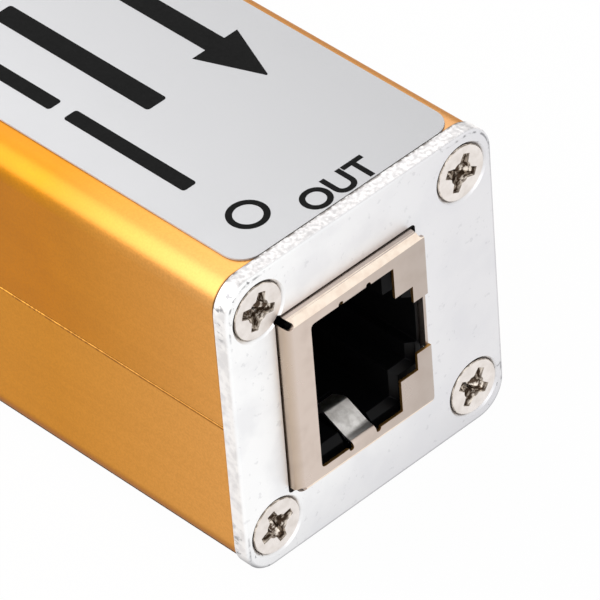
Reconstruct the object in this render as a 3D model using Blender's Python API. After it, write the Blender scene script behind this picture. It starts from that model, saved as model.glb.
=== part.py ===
"""In-line surge protector for an 8-way network cable.

Two like aluminium half shells slide together along their edges and form a square tube. An end
plate closes each end, held by four countersunk screws, and a shielded socket looks out of it,
lying on its side. Between the sockets a board carries the arresters and the diode arrays.

Axes: X runs along the case, with the outgoing socket at +X. Y runs across it, from the side with
the contacts to the side with the latch. Z is up, with the case standing on its end plates at zero.
Sizes are in millimetres, and meshes are built in them, then brought to metres.
"""
import math

import bmesh
import bpy
from mathutils import Matrix, Vector

MM = 0.001

# Case: the tube that the two half shells form, drawn round the screws and the socket
TUBE_LENGTH = 80.0
SCREW_TO_SIDE = 2.85
SCREW_TO_TOP = 3.05
TUBE_CORNER = 2.2
WALL = 1.4

# Edges where the half shells meet
SEAM_RISE = 0.3
SEAM_GAP = 0.2
SEAM_CHAMFER = 0.12
LIP = 0.75
TONGUE_REACH = 1.3
TONGUE_CHAMFER = 0.2
JOINT_RIB = 0.9
JOINT_RIB_RISE = 1.4

# Channels along the corners of the case, which the plate screws enter
PORT_SIZE = 3.8
PORT_MOUTH = 1.0
THREAD_CLEARANCE = 0.15

# End plates
PLATE_THICKNESS = 1.2
PLATE_OVERHANG_SIDE = 0.2
PLATE_OVERHANG_TOP = 0.25
PLATE_CORNER = 2.6
PLATE_EDGE_ROUND = 0.2
SEAT_GAP = 0.3

# Countersunk plate screws, whose heads reach a little past the sides of the socket
SCREW_HEAD = 4.7
HEAD_TUCK_Y = 0.865
HEAD_TUCK_Z = 0.64
SCREW_RIM = 0.12
SCREW_SHANK = 2.3
SCREW_LENGTH = 8.0
SCREW_TIP = 0.6
RECESS_SPAN = 2.7
RECESS_SLOT = 0.62
RECESS_DEPTH = 1.3
RECESS_TAPER = 0.45
SCREW_TURNS = (19.0, 72.0, 57.0, 66.0)

# Socket shield, a folded sheet
JACK_WIDTH = 13.55
JACK_HEIGHT = 16.0
JACK_SHIFT_Y = -1.74
JACK_SHIFT_Z = 0.29
JACK_PROTRUSION = 1.05
SHEET = 0.25
FOLD_RADIUS = 0.6
RELIEF_WIDTH = 0.6
RELIEF_REACH = 0.5
LATCH_RELIEF_REACH = 0.1
LATCH_RELIEF_DEPTH = 1.6
SHIELD_TAB = 1.6
SHIELD_TAB_SETBACK = 9.5
SHIELD_TAB_OVERRUN = 0.6

# Mouth of the shield, for the plug and for its latch
MOUTH_SIDE_RIM = 1.35
MOUTH_RIM = 2.26
MOUTH_FAR_RIM = 3.16
MOUTH_CHAMFER = 0.35
LATCH_STEP_HEIGHT = 7.8
LATCH_STEP_WIDTH = 1.75
LATCH_SLOT_HEIGHT = 4.8

# Spring fingers that touch the plug's shield
FINGER_WIDTH = 2.2
FINGER_SHIFT = -0.2
FINGER_SHEET = 0.22
FINGER_BEND = 0.4
FINGER_LENGTH = 2.9
FINGER_DIP = 1.1
FINGER_TIP = 1.4
FINGER_TIP_LIFT = 0.6
FINGER_NOTCH_WIDTH = 0.55
FINGER_NOTCH_DEPTH = 0.3
FINGER_NOTCH_ROUND = 0.25
FINGER_ROOT = 0.3

# Plastic housing of the socket
HOUSING_SETBACK = 0.8
CAVITY_DEPTH = 12.2
CAVITY_ROOF = 1.9
CAVITY_SIDE_LEDGE = 0.7
CAVITY_LATCH_LEDGE = 0.04
STEP_LEDGE = 0.4
SLOT_LEDGE = 0.3
HOUSING_FLOOR = 0.6
PARTITION = 0.8
WINDOW_SETBACK = 2.4
POST_DIAMETER = 3.0
POST_INSET = 2.285
POST_BEHIND_CAVITY = 0.4
POST_LENGTH = 2.4

# Contacts, and the carrier that holds them
CONTACTS = 8
CONTACT_PITCH = 1.02
CONTACT_WIDTH = 0.35
CONTACT_SHEET = 0.3
CONTACT_CLEARANCE = 0.17
CONTACT_DEPTH = 1.0
CONTACT_BEND = 0.4
CONTACT_LOOP = 1.05
CONTACT_FRONT = 3.2
CONTACT_TIP_ROOM = 0.8
CONTACT_TIP_DROP = 2.85
CARRIER_BAR = 1.6
TAIL_ROW_BEHIND_CAVITY = 3.6
TAIL_ROW_PITCH = 2.54
TAIL_TO_BACK = 2.96
TAIL_OVERRUN = 1.2

# Circuit board
BOARD_THICKNESS = 1.6
BOARD_SLOT_CLEARANCE = 0.2
BOARD_RIB = 0.8
BOARD_RIB_DEPTH = 1.0
BOARD_END_GAP = 0.5
HOLE_CLEARANCE = 0.3
ROW_INSET = 5.95
SPACES_PER_HALF = 3

# Gas discharge tubes
TUBE_BODY = 5.0
ELECTRODE_DIAMETER = 5.5
ELECTRODE_WIDTH = 1.1
ARRESTER_LENGTH = 8.0
ARRESTER_LEAD = 0.8

# Diode arrays
ARRAY_LENGTH = 4.9
ARRAY_WIDTH = 3.9
ARRAY_HEIGHT = 1.5
ARRAY_DRAFT = 0.25
ARRAY_STANDOFF = 0.1
ARRAY_LEGS = 4
ARRAY_LEG_PITCH = 1.27
ARRAY_LEG_WIDTH = 0.42
ARRAY_LEG_SHEET = 0.2
ARRAY_LEG_REACH = 1.05

# Label on the top face
LABEL_THICKNESS = 0.12
LABEL_GAP = 0.04
LABEL_MARGIN_NEAR = 3.0
LABEL_MARGIN_FAR = 1.75
LABEL_MARGIN_END = 0.1
LABEL_CORNER = 1.8

# Facets of round stretches
CORNER_STEPS = 8
TURN_STEPS = 28
ARRESTER_STEPS = 20
HOLE_STEPS = 10
BEND_STEPS = 4
NOTCH_STEPS = 3
OVERRUN = 1.0

# Sizes worked out from those above: the case grows from the socket outwards
SCREW_PITCH_Y = 2 * (JACK_WIDTH / 2 - JACK_SHIFT_Y + SCREW_HEAD / 2 - HEAD_TUCK_Y)
SCREW_PITCH_Z = 2 * (JACK_HEIGHT / 2 + JACK_SHIFT_Z + SCREW_HEAD / 2 - HEAD_TUCK_Z)
TUBE_WIDTH = SCREW_PITCH_Y + 2 * SCREW_TO_SIDE
TUBE_HEIGHT = SCREW_PITCH_Z + 2 * SCREW_TO_TOP
PLATE_WIDTH = TUBE_WIDTH + 2 * PLATE_OVERHANG_SIDE
PLATE_HEIGHT = TUBE_HEIGHT + 2 * PLATE_OVERHANG_TOP
MOUTH_HEIGHT = JACK_HEIGHT - 2 * MOUTH_SIDE_RIM
CAVITY_HEIGHT = MOUTH_HEIGHT - 2 * CAVITY_SIDE_LEDGE
HOUSING_STEP_HEIGHT = LATCH_STEP_HEIGHT - 2 * STEP_LEDGE
HOUSING_SLOT_HEIGHT = LATCH_SLOT_HEIGHT - 2 * SLOT_LEDGE
POST_PITCH = JACK_HEIGHT - 2 * POST_INSET
POST_SETBACK = CAVITY_DEPTH + POST_BEHIND_CAVITY
CONTACT_TIP_SETBACK = CAVITY_DEPTH - CONTACT_TIP_ROOM
TAIL_ROW_SETBACK = CAVITY_DEPTH + TAIL_ROW_BEHIND_CAVITY
JACK_DEPTH = TAIL_ROW_SETBACK + TAIL_ROW_PITCH + TAIL_TO_BACK

# Places worked out from the sizes above
CENTRE_HEIGHT = PLATE_HEIGHT / 2
PLATE_BACK = TUBE_LENGTH / 2 + SEAT_GAP
PLATE_FRONT = PLATE_BACK + PLATE_THICKNESS
JACK_FACE = PLATE_FRONT + JACK_PROTRUSION
BOARD_FACE = JACK_WIDTH / 2 + SEAT_GAP
BOARD_FAR_FACE = BOARD_FACE + BOARD_THICKNESS
TAIL_END = BOARD_FAR_FACE + TAIL_OVERRUN
TAB_END = BOARD_FAR_FACE + SHIELD_TAB_OVERRUN
SHIELD_BACK = -JACK_DEPTH
MOUTH_WALL = -JACK_WIDTH / 2 + MOUTH_RIM
MOUTH_STEP = JACK_WIDTH / 2 - MOUTH_FAR_RIM
MOUTH_SLOT = MOUTH_STEP + LATCH_STEP_WIDTH
HOUSING_ROOF = -JACK_WIDTH / 2 + SHEET + SEAT_GAP
HOUSING_SOLE = JACK_WIDTH / 2
HOUSING_BACK = SHIELD_BACK + SHEET + SEAT_GAP
CONTACT_RUN = HOUSING_ROOF + CONTACT_DEPTH
BOARD_HALF_HEIGHT = TUBE_HEIGHT / 2 - WALL - SEAT_GAP
ROW_HEIGHT = BOARD_HALF_HEIGHT - ROW_INSET
BOARD_FREE_LENGTH = JACK_FACE - JACK_DEPTH - ARRESTER_LENGTH - ARRAY_LENGTH
PART_SPACE = BOARD_FREE_LENGTH / SPACES_PER_HALF
ARRESTER_X = PART_SPACE + ARRESTER_LENGTH / 2
ARRAY_X = ARRESTER_X + ARRESTER_LENGTH / 2 + PART_SPACE + ARRAY_LENGTH / 2
ENDS = {"out": 0.0, "in": math.pi}


def arc(centre, radius, start, end, steps):
    """Give the points of a circle's arc between two angles in degrees, both ends included."""
    points = []
    for step in range(steps + 1):
        turn = math.radians(start + (end - start) * step / steps)
        points.append((centre[0] + radius * math.cos(turn), centre[1] + radius * math.sin(turn)))
    return points


def rectangle(low, high):
    """Give the corners of a rectangle between two opposite ones."""
    return [(low[0], low[1]), (high[0], low[1]), (high[0], high[1]), (low[0], high[1])]


def rounded_rectangle(low, high, radius):
    """Give a rectangle's outline with its four corners rounded."""
    centres = (
        (high[0] - radius, high[1] - radius),
        (low[0] + radius, high[1] - radius),
        (low[0] + radius, low[1] + radius),
        (high[0] - radius, low[1] + radius),
    )
    points = []
    for quarter, centre in enumerate(centres):
        points += arc(centre, radius, 90 * quarter, 90 * (quarter + 1), CORNER_STEPS)
    return points


def mirrored(points):
    """Mirror an outline's points in its first axis and reverse their order."""
    return [(-first, second) for first, second in reversed(points)]


def bent(corners, radius, steps=BEND_STEPS):
    """Round the inner corners of a path, as a wire or a strip is bent."""
    points = [Vector(corners[0])]
    for before, corner, after in zip(corners, corners[1:], corners[2:]):
        corner = Vector(corner)
        incoming = (Vector(before) - corner).normalized()
        outgoing = (Vector(after) - corner).normalized()
        half = incoming.angle(outgoing) / 2
        bisector = (incoming + outgoing).normalized()
        centre = corner + bisector * (radius / math.sin(half))
        first = corner + incoming * (radius / math.tan(half)) - centre
        last = corner + outgoing * (radius / math.tan(half)) - centre
        sweep = first.angle_signed(last)
        for step in range(steps + 1):
            points.append(centre + Matrix.Rotation(-sweep * step / steps, 2) @ first)
    points.append(Vector(corners[-1]))
    return points


def thickened(path, thickness):
    """Give the outline of a strip of one thickness that follows a path."""
    sides = []
    for index, point in enumerate(path):
        before = path[max(index - 1, 0)]
        after = path[min(index + 1, len(path) - 1)]
        into = (point - before).normalized() if index else (after - point).normalized()
        out_of = (after - point).normalized() if index < len(path) - 1 else into
        normal = Vector((-into.y - out_of.y, into.x + out_of.x)).normalized()
        reach = thickness / 2 / normal.dot(Vector((-into.y, into.x)))
        sides.append(normal * reach)
    left = [tuple(point + side) for point, side in zip(path, sides)]
    right = [tuple(point - side) for point, side in zip(path, sides)]
    return left + right[::-1]


def extrude(outline, axis, start, end):
    """Extrude an outline along an axis.

    The outline lies in YZ for the X axis, in XZ for the Y axis and in XY for the Z axis.
    """
    places = {
        "X": lambda point: (start, point[0], point[1]),
        "Y": lambda point: (point[0], start, point[1]),
        "Z": lambda point: (point[0], point[1], start),
    }
    shape = bmesh.new()
    face = shape.faces.new([shape.verts.new(places[axis](point)) for point in outline])
    grown = bmesh.ops.extrude_face_region(shape, geom=[face])
    moved = [part for part in grown["geom"] if isinstance(part, bmesh.types.BMVert)]
    step = Vector([(end - start) * (axis == name) for name in "XYZ"])
    bmesh.ops.translate(shape, vec=step, verts=moved)
    bmesh.ops.remove_doubles(shape, verts=shape.verts, dist=1e-5)
    return shape


def box(low, high):
    """Make a box between two opposite corners."""
    return extrude(rectangle(low[:2], high[:2]), "Z", low[2], high[2])


def turned(profile, steps=TURN_STEPS):
    """Turn a profile of (place, radius) points about the X axis."""
    shape = bmesh.new()
    verts = [shape.verts.new((place, radius, 0.0)) for place, radius in profile]
    edges = [shape.edges.new(pair) for pair in zip(verts, verts[1:])]
    bmesh.ops.spin(
        shape, geom=verts + edges, axis=(1, 0, 0), cent=(0, 0, 0), angle=math.tau, steps=steps
    )
    bmesh.ops.remove_doubles(shape, verts=shape.verts, dist=1e-4)
    return shape


def rod(diameter, start, end):
    """Make a round rod along the X axis."""
    radius = diameter / 2
    return turned([(start, 0.0), (start, radius), (end, radius), (end, 0.0)], HOLE_STEPS)


def moved(shape, place, turn=Matrix.Identity(3)):
    """Turn a shape about its origin, then move it."""
    bmesh.ops.rotate(shape, matrix=turn, verts=shape.verts)
    bmesh.ops.translate(shape, vec=place, verts=shape.verts)
    return shape


def gathered(shapes):
    """Put several shapes into one, as separate bodies."""
    whole = bmesh.new()
    for shape in shapes:
        mesh = bpy.data.meshes.new("part_of_whole")
        shape.to_mesh(mesh)
        shape.free()
        whole.from_mesh(mesh)
        bpy.data.meshes.remove(mesh)
    return whole


def to_mesh(shape, name):
    """Bring a shape from millimetres to metres and store it as a mesh."""
    bmesh.ops.recalc_face_normals(shape, faces=shape.faces)
    bmesh.ops.scale(shape, vec=(MM, MM, MM), verts=shape.verts)
    mesh = bpy.data.meshes.new(name)
    shape.to_mesh(mesh)
    shape.free()
    return mesh


def worked(name, body, cuts=(), additions=()):
    """Cut shapes out of a body, then add others to it, and give the finished mesh."""
    body_object = bpy.data.objects.new(name, to_mesh(body, name))
    bpy.context.collection.objects.link(body_object)
    tools = []
    for operation, shapes in (("DIFFERENCE", cuts), ("UNION", additions)):
        for shape in shapes:
            tool = bpy.data.objects.new("tool", to_mesh(shape, "tool"))
            bpy.context.collection.objects.link(tool)
            modifier = body_object.modifiers.new(operation.title(), "BOOLEAN")
            modifier.operation = operation
            modifier.solver = "EXACT"
            modifier.object = tool
            tools.append(tool)
    evaluated = body_object.evaluated_get(bpy.context.evaluated_depsgraph_get())
    mesh = bpy.data.meshes.new_from_object(evaluated)
    for leftover in [body_object] + tools:
        bpy.data.objects.remove(leftover)
    return mesh


def place(name, mesh, material, matrix):
    """Put a mesh into the scene as a named piece with its material."""
    if not mesh.materials:
        mesh.materials.append(material)
    piece = bpy.data.objects.new(name, mesh)
    piece.matrix_world = matrix
    bpy.context.collection.objects.link(piece)
    return piece


def smooth(mesh, angle=30.0):
    """Shade a mesh smooth, with edges sharper than the angle left sharp."""
    mesh.shade_smooth()
    mesh.set_sharp_from_angle(angle=math.radians(angle))
    return mesh


def finish(name, colour, roughness, metallic=0.0):
    """Make a Principled material from its linear colour, roughness and metallic value."""
    material = bpy.data.materials.new(name)
    material.use_nodes = True
    shader = material.node_tree.nodes["Principled BSDF"]
    shader.inputs["Base Color"].default_value = (*colour, 1.0)
    shader.inputs["Roughness"].default_value = roughness
    shader.inputs["Metallic"].default_value = metallic
    return material


def metal(name, colour, roughness):
    """Make a metallic material."""
    return finish(name, colour, roughness, 1.0)


def screw_places():
    """Give the four screw axes in YZ, about the middle of the case."""
    return [
        (side * SCREW_PITCH_Y / 2, rise * SCREW_PITCH_Z / 2)
        for side in (-1, 1)
        for rise in (-1, 1)
    ]


def shell_corner():
    """Give the inner outline of a half shell's corner at +Y, from the side wall to the middle.

    It runs round the screw channel, which is a block in the corner with a slotted bore, and
    then round the slot that holds the board's edge.
    """
    inner_width = TUBE_WIDTH / 2 - WALL
    inner_height = TUBE_HEIGHT / 2 - WALL
    bore = SCREW_SHANK / 2 + THREAD_CLEARANCE
    centre = (SCREW_PITCH_Y / 2, SCREW_PITCH_Z / 2)
    half_mouth = PORT_MOUTH / 2
    mouth_turn = math.degrees(math.asin(half_mouth / bore))
    block_foot = centre[1] - PORT_SIZE / 2
    slot_near = BOARD_FACE + JACK_SHIFT_Y - BOARD_SLOT_CLEARANCE
    slot_far = BOARD_FAR_FACE + JACK_SHIFT_Y + BOARD_SLOT_CLEARANCE
    block_side = max(centre[0] - PORT_SIZE / 2, slot_far)
    rib_foot = inner_height - BOARD_RIB_DEPTH
    points = [(inner_width, block_foot), (centre[0] + half_mouth, block_foot)]
    points += arc(centre, bore, -90 + mouth_turn, 270 - mouth_turn, TURN_STEPS // 2)
    points += [
        (centre[0] - half_mouth, block_foot),
        (block_side, block_foot),
        (block_side, rib_foot),
        (slot_far, rib_foot),
        (slot_far, inner_height),
        (slot_near, inner_height),
        (slot_near, rib_foot),
        (slot_near - BOARD_RIB, rib_foot),
        (slot_near - BOARD_RIB, inner_height),
    ]
    return points


def shell_outline():
    """Give the section of a half shell.

    Its -Y edge ends in a tongue and its +Y edge in a lip. The other half is the same section
    turned half round about X, so each tongue lies behind the other half's lip.
    """
    half_width = TUBE_WIDTH / 2
    half_height = TUBE_HEIGHT / 2
    half_gap = SEAM_GAP / 2
    joint = half_width - LIP
    rib_face = half_width - WALL - JOINT_RIB
    rib_top = TONGUE_REACH + JOINT_RIB_RISE
    tongue_seam = SEAM_RISE + half_gap
    lip_seam = -SEAM_RISE + half_gap
    tongue_tip = -TONGUE_REACH + half_gap
    recess = TONGUE_REACH + half_gap
    crown = (half_width - TUBE_CORNER, half_height - TUBE_CORNER)
    outside = [
        (-half_width + SEAM_CHAMFER, tongue_seam),
        (-half_width, tongue_seam + SEAM_CHAMFER),
        *arc((-crown[0], crown[1]), TUBE_CORNER, 180, 90, CORNER_STEPS),
        *arc(crown, TUBE_CORNER, 90, 0, CORNER_STEPS),
        (half_width, lip_seam + SEAM_CHAMFER),
        (half_width - SEAM_CHAMFER, lip_seam),
    ]
    lip = [
        (joint + half_gap, lip_seam),
        (joint + half_gap, recess),
        (rib_face, recess),
        (rib_face, rib_top),
        (half_width - WALL, rib_top),
    ]
    tongue = [
        (-half_width + WALL, rib_top),
        (-rib_face, rib_top),
        (-rib_face, tongue_tip),
        (-joint + half_gap + TONGUE_CHAMFER, tongue_tip),
        (-joint + half_gap, tongue_tip + TONGUE_CHAMFER),
        (-joint + half_gap, tongue_seam),
    ]
    return outside + lip + shell_corner() + mirrored(shell_corner()) + tongue


def shell_mesh():
    """Make a half shell."""
    shell = extrude(shell_outline(), "X", -TUBE_LENGTH / 2, TUBE_LENGTH / 2)
    return smooth(to_mesh(shell, "shell"))


def plate_mesh():
    """Make an end plate with its socket cut-out and four countersunk holes."""
    low = (-PLATE_WIDTH / 2, -PLATE_HEIGHT / 2)
    high = (PLATE_WIDTH / 2, PLATE_HEIGHT / 2)
    plate = extrude(rounded_rectangle(low, high, PLATE_CORNER), "X", PLATE_BACK, PLATE_FRONT)
    middle = (PLATE_BACK + PLATE_FRONT) / 2
    rim = [edge for edge in plate.edges if min(vert.co.x for vert in edge.verts) > middle]
    bmesh.ops.bevel(
        plate, geom=rim, offset=PLATE_EDGE_ROUND, segments=2, profile=0.5, affect="EDGES"
    )
    half = (JACK_WIDTH / 2 + SEAT_GAP, JACK_HEIGHT / 2 + SEAT_GAP)
    window = box(
        (PLATE_BACK - OVERRUN, JACK_SHIFT_Y - half[0], JACK_SHIFT_Z - half[1]),
        (PLATE_FRONT + OVERRUN, JACK_SHIFT_Y + half[0], JACK_SHIFT_Z + half[1]),
    )
    mouth = SCREW_HEAD / 2 + SEAT_GAP
    shank = SCREW_SHANK / 2 + SEAT_GAP
    seat = [
        (PLATE_BACK - OVERRUN, 0.0),
        (PLATE_BACK - OVERRUN, shank),
        (PLATE_BACK, shank),
        (PLATE_FRONT, mouth),
        (PLATE_FRONT + OVERRUN, mouth),
        (PLATE_FRONT + OVERRUN, 0.0),
    ]
    seats = gathered([moved(turned(seat), (0.0, y, z)) for y, z in screw_places()])
    return smooth(worked("plate", plate, cuts=[window, seats]))


def screw_mesh():
    """Make a countersunk screw with a cross recess, its head's face at the origin."""
    head = SCREW_HEAD / 2
    shank = SCREW_SHANK / 2
    profile = [
        (0.0, 0.0),
        (0.0, head),
        (-SCREW_RIM, head),
        (-SCREW_RIM - PLATE_THICKNESS, shank),
        (-SCREW_LENGTH + SCREW_TIP, shank),
        (-SCREW_LENGTH, shank - SCREW_TIP),
        (-SCREW_LENGTH, 0.0),
    ]
    slots = []
    for turn in (0.0, 90.0):
        wedge = [
            (OVERRUN, RECESS_SPAN / 2),
            (0.0, RECESS_SPAN / 2),
            (-RECESS_DEPTH, RECESS_SPAN / 2 - RECESS_TAPER * RECESS_DEPTH),
            (-RECESS_DEPTH, -RECESS_SPAN / 2 + RECESS_TAPER * RECESS_DEPTH),
            (0.0, -RECESS_SPAN / 2),
            (OVERRUN, -RECESS_SPAN / 2),
        ]
        slot = extrude(wedge, "Y", -RECESS_SLOT / 2, RECESS_SLOT / 2)
        slots.append(moved(slot, (0, 0, 0), Matrix.Rotation(math.radians(turn), 3, "X")))
    return smooth(worked("screw", turned(profile), cuts=slots))


def mouth_outline():
    """Give the outline of the shield's mouth in YZ, with the notches that free the fingers."""
    past_edge = JACK_WIDTH / 2 + OVERRUN
    half_mouth = MOUTH_HEIGHT / 2
    notch = half_mouth + FINGER_NOTCH_DEPTH
    notch_near = FINGER_SHIFT - FINGER_WIDTH / 2 - FINGER_NOTCH_WIDTH
    notch_far = FINGER_SHIFT + FINGER_WIDTH / 2 + FINGER_NOTCH_WIDTH
    rounding = FINGER_NOTCH_ROUND
    upper = [
        (MOUTH_WALL, half_mouth - MOUTH_CHAMFER),
        (MOUTH_WALL + MOUTH_CHAMFER, half_mouth),
        (notch_near, half_mouth),
        *arc((notch_near + rounding, notch - rounding), rounding, 180, 90, NOTCH_STEPS),
        *arc((notch_far - rounding, notch - rounding), rounding, 90, 0, NOTCH_STEPS),
        (notch_far, half_mouth),
        (MOUTH_STEP, half_mouth),
        (MOUTH_STEP, LATCH_STEP_HEIGHT / 2),
        (MOUTH_SLOT, LATCH_STEP_HEIGHT / 2),
        (MOUTH_SLOT, LATCH_SLOT_HEIGHT / 2),
        (past_edge, LATCH_SLOT_HEIGHT / 2),
    ]
    lower = [(across, -up) for across, up in reversed(upper)]
    return upper + lower


def finger(side):
    """Make a spring finger that bends inwards from the mouth's upper or lower edge."""
    root = MOUTH_HEIGHT / 2
    corners = [
        (-SHEET / 2, root + FINGER_NOTCH_DEPTH + FINGER_ROOT),
        (-SHEET / 2, root),
        (-SHEET / 2 - FINGER_LENGTH, root - FINGER_DIP),
        (-SHEET / 2 - FINGER_LENGTH - FINGER_TIP, root - FINGER_DIP + FINGER_TIP_LIFT),
    ]
    path = bent(corners, FINGER_BEND)
    outline = [(along, side * up) for along, up in thickened(path, FINGER_SHEET)]
    return extrude(outline, "Y", FINGER_SHIFT - FINGER_WIDTH / 2, FINGER_SHIFT + FINGER_WIDTH / 2)


def folded_block(low, high, radius):
    """Make a box whose front edges are rounded, except at +Y, where the sheet isn't folded."""
    block = box(low, high)
    folds = []
    for edge in block.edges:
        middle = (edge.verts[0].co + edge.verts[1].co) / 2
        at_front = abs(middle.x - high[0]) < 1e-4
        at_latch_side = abs(middle.y - high[1]) < 1e-4
        if at_front and not at_latch_side:
            folds.append(edge)
    bmesh.ops.bevel(
        block, geom=folds, offset=radius, segments=BEND_STEPS, profile=0.5, affect="EDGES"
    )
    return block


def relief_slit(reach, back):
    """Make the cutter of a corner's slit, with a round end at its reach, from back to the front."""
    outline = [
        (RELIEF_WIDTH / 2, -OVERRUN),
        *arc((0.0, reach), RELIEF_WIDTH / 2, 0, 180, CORNER_STEPS),
        (-RELIEF_WIDTH / 2, -OVERRUN),
    ]
    return extrude(outline, "X", back, OVERRUN)


def shield_mesh():
    """Make the socket's shield, open towards the board, with its mouth at the origin."""
    half_width = JACK_WIDTH / 2
    half_height = JACK_HEIGHT / 2
    tab_low = -SHIELD_TAB_SETBACK - SHIELD_TAB / 2
    tab_high = -SHIELD_TAB_SETBACK + SHIELD_TAB / 2
    block = folded_block(
        (SHIELD_BACK, -half_width, -half_height), (0.0, TAB_END, half_height), FOLD_RADIUS
    )
    hollow = folded_block(
        (SHIELD_BACK + SHEET, -half_width + SHEET, -half_height + SHEET),
        (-SHEET, TAB_END + OVERRUN, half_height - SHEET),
        FOLD_RADIUS - SHEET,
    )
    past = half_height + OVERRUN
    past_tabs = TAB_END + OVERRUN
    before_tabs = box((tab_high, half_width, -past), (OVERRUN, past_tabs, past))
    behind_tabs = box((SHIELD_BACK - OVERRUN, half_width, -past), (tab_low, past_tabs, past))
    mouth = extrude(mouth_outline(), "X", -FOLD_RADIUS, OVERRUN)
    reliefs = []
    for side in (-1, 1):
        near_slit = relief_slit(RELIEF_REACH, SHIELD_BACK - OVERRUN)
        near_lean = Matrix.Rotation(math.radians(-45 if side < 0 else -135), 3, "X")
        reliefs.append(moved(near_slit, (0.0, -half_width, side * half_height), near_lean))
        far_slit = relief_slit(LATCH_RELIEF_REACH, -LATCH_RELIEF_DEPTH)
        far_lean = Matrix.Rotation(math.radians(45 if side < 0 else 135), 3, "X")
        reliefs.append(moved(far_slit, (0.0, half_width, side * half_height), far_lean))
    cuts = [hollow, before_tabs, behind_tabs, mouth, gathered(reliefs)]
    return smooth(worked("shield", block, cuts, additions=[finger(1), finger(-1)]))


def housing_mesh():
    """Make the socket's plastic housing, with the cavity for the plug."""
    half_height = JACK_HEIGHT / 2 - SHEET - SEAT_GAP
    front = -HOUSING_SETBACK
    body = box((HOUSING_BACK, HOUSING_ROOF, -half_height), (front, HOUSING_SOLE, half_height))
    roof = HOUSING_ROOF + CAVITY_ROOF
    step = MOUTH_STEP - CAVITY_LATCH_LEDGE
    floor = HOUSING_SOLE - HOUSING_FLOOR
    upper = [
        (roof, CAVITY_HEIGHT / 2),
        (step, CAVITY_HEIGHT / 2),
        (step, HOUSING_STEP_HEIGHT / 2),
        (MOUTH_SLOT, HOUSING_STEP_HEIGHT / 2),
        (MOUTH_SLOT, HOUSING_SLOT_HEIGHT / 2),
        (floor, HOUSING_SLOT_HEIGHT / 2),
    ]
    outline = upper + [(across, -up) for across, up in reversed(upper)]
    cavity = extrude(outline, "X", -CAVITY_DEPTH, OVERRUN)
    finger_back = -FINGER_LENGTH - FINGER_TIP - 2 * SEAT_GAP
    finger_half = FINGER_WIDTH / 2 + SEAT_GAP
    finger_room = box(
        (finger_back, FINGER_SHIFT - finger_half, -MOUTH_HEIGHT / 2 - SEAT_GAP),
        (OVERRUN, FINGER_SHIFT + finger_half, MOUTH_HEIGHT / 2 + SEAT_GAP),
    )
    window_half = carrier_half_width() + SEAT_GAP
    window = box(
        (HOUSING_BACK - OVERRUN, HOUSING_ROOF - OVERRUN, -window_half),
        (-WINDOW_SETBACK, roof + SEAT_GAP, window_half),
    )
    pocket = box(
        (HOUSING_BACK - OVERRUN, HOUSING_ROOF - OVERRUN, -window_half),
        (-CAVITY_DEPTH - PARTITION, HOUSING_SOLE + OVERRUN, window_half),
    )
    posts = []
    for side in (-1, 1):
        post = rod(POST_DIAMETER, -OVERRUN, POST_LENGTH)
        spot = (-POST_SETBACK, HOUSING_SOLE, side * POST_PITCH / 2)
        posts.append(moved(post, spot, Matrix.Rotation(math.radians(90), 3, "Z")))
    return smooth(worked("housing", body, [cavity, finger_room, window, pocket], posts))


def carrier_half_width():
    """Give half the width of the contact carrier, outside its last contacts."""
    return CONTACTS * CONTACT_PITCH / 2 + CONTACT_SHEET


def contact_rows():
    """Give each contact's height across the socket and the place of its tail."""
    rows = []
    for index in range(CONTACTS):
        up = (index - (CONTACTS - 1) / 2) * CONTACT_PITCH
        tail = -TAIL_ROW_SETBACK - (index % 2) * TAIL_ROW_PITCH
        rows.append((up, tail))
    return rows


def carrier_mesh():
    """Make the carrier that holds the contacts over and behind the plug's cavity."""
    back = HOUSING_BACK
    front = -WINDOW_SETBACK - SEAT_GAP
    shoulder = -CAVITY_DEPTH - PARTITION - SEAT_GAP
    bar_foot = HOUSING_ROOF + CARRIER_BAR
    sole = HOUSING_SOLE - SEAT_GAP
    outline = [
        (back, HOUSING_ROOF),
        (front, HOUSING_ROOF),
        (front, bar_foot),
        (shoulder, bar_foot),
        (shoulder, sole),
        (back, sole),
    ]
    half = carrier_half_width()
    body = extrude(outline, "Z", -half, half)
    room = CONTACT_SHEET / 2 + CONTACT_CLEARANCE
    side_room = CONTACT_WIDTH / 2 + CONTACT_CLEARANCE
    grooves = []
    channels = []
    for up, tail in contact_rows():
        grooves.append(
            box(
                (tail - room, CONTACT_RUN - room, up - side_room),
                (front + OVERRUN, bar_foot + SEAT_GAP, up + side_room),
            )
        )
        channels.append(
            box(
                (tail - room, CONTACT_RUN - room, up - side_room),
                (tail + room, sole + OVERRUN, up + side_room),
            )
        )
    return worked("carrier", body, cuts=[gathered(grooves), gathered(channels)])


def contact_mesh(tail):
    """Make one contact: its tail, its run over the cavity and its spring in the cavity."""
    loop_foot = CONTACT_RUN + CONTACT_LOOP
    corners = [
        (tail, TAIL_END),
        (tail, CONTACT_RUN),
        (-CONTACT_FRONT, CONTACT_RUN),
        (-CONTACT_FRONT, loop_foot),
        (-CONTACT_TIP_SETBACK, HOUSING_ROOF + CAVITY_ROOF + CONTACT_TIP_DROP),
    ]
    outline = thickened(bent(corners, CONTACT_BEND), CONTACT_SHEET)
    wire = extrude(outline, "Z", -CONTACT_WIDTH / 2, CONTACT_WIDTH / 2)
    return to_mesh(wire, "contact")


def hole(diameter, along, up):
    """Make a cutter for a round hole through the board."""
    outline = arc((along, up), diameter / 2, 0, 360, HOLE_STEPS)[:-1]
    return extrude(outline, "Y", BOARD_FACE - OVERRUN, BOARD_FAR_FACE + OVERRUN)


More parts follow.
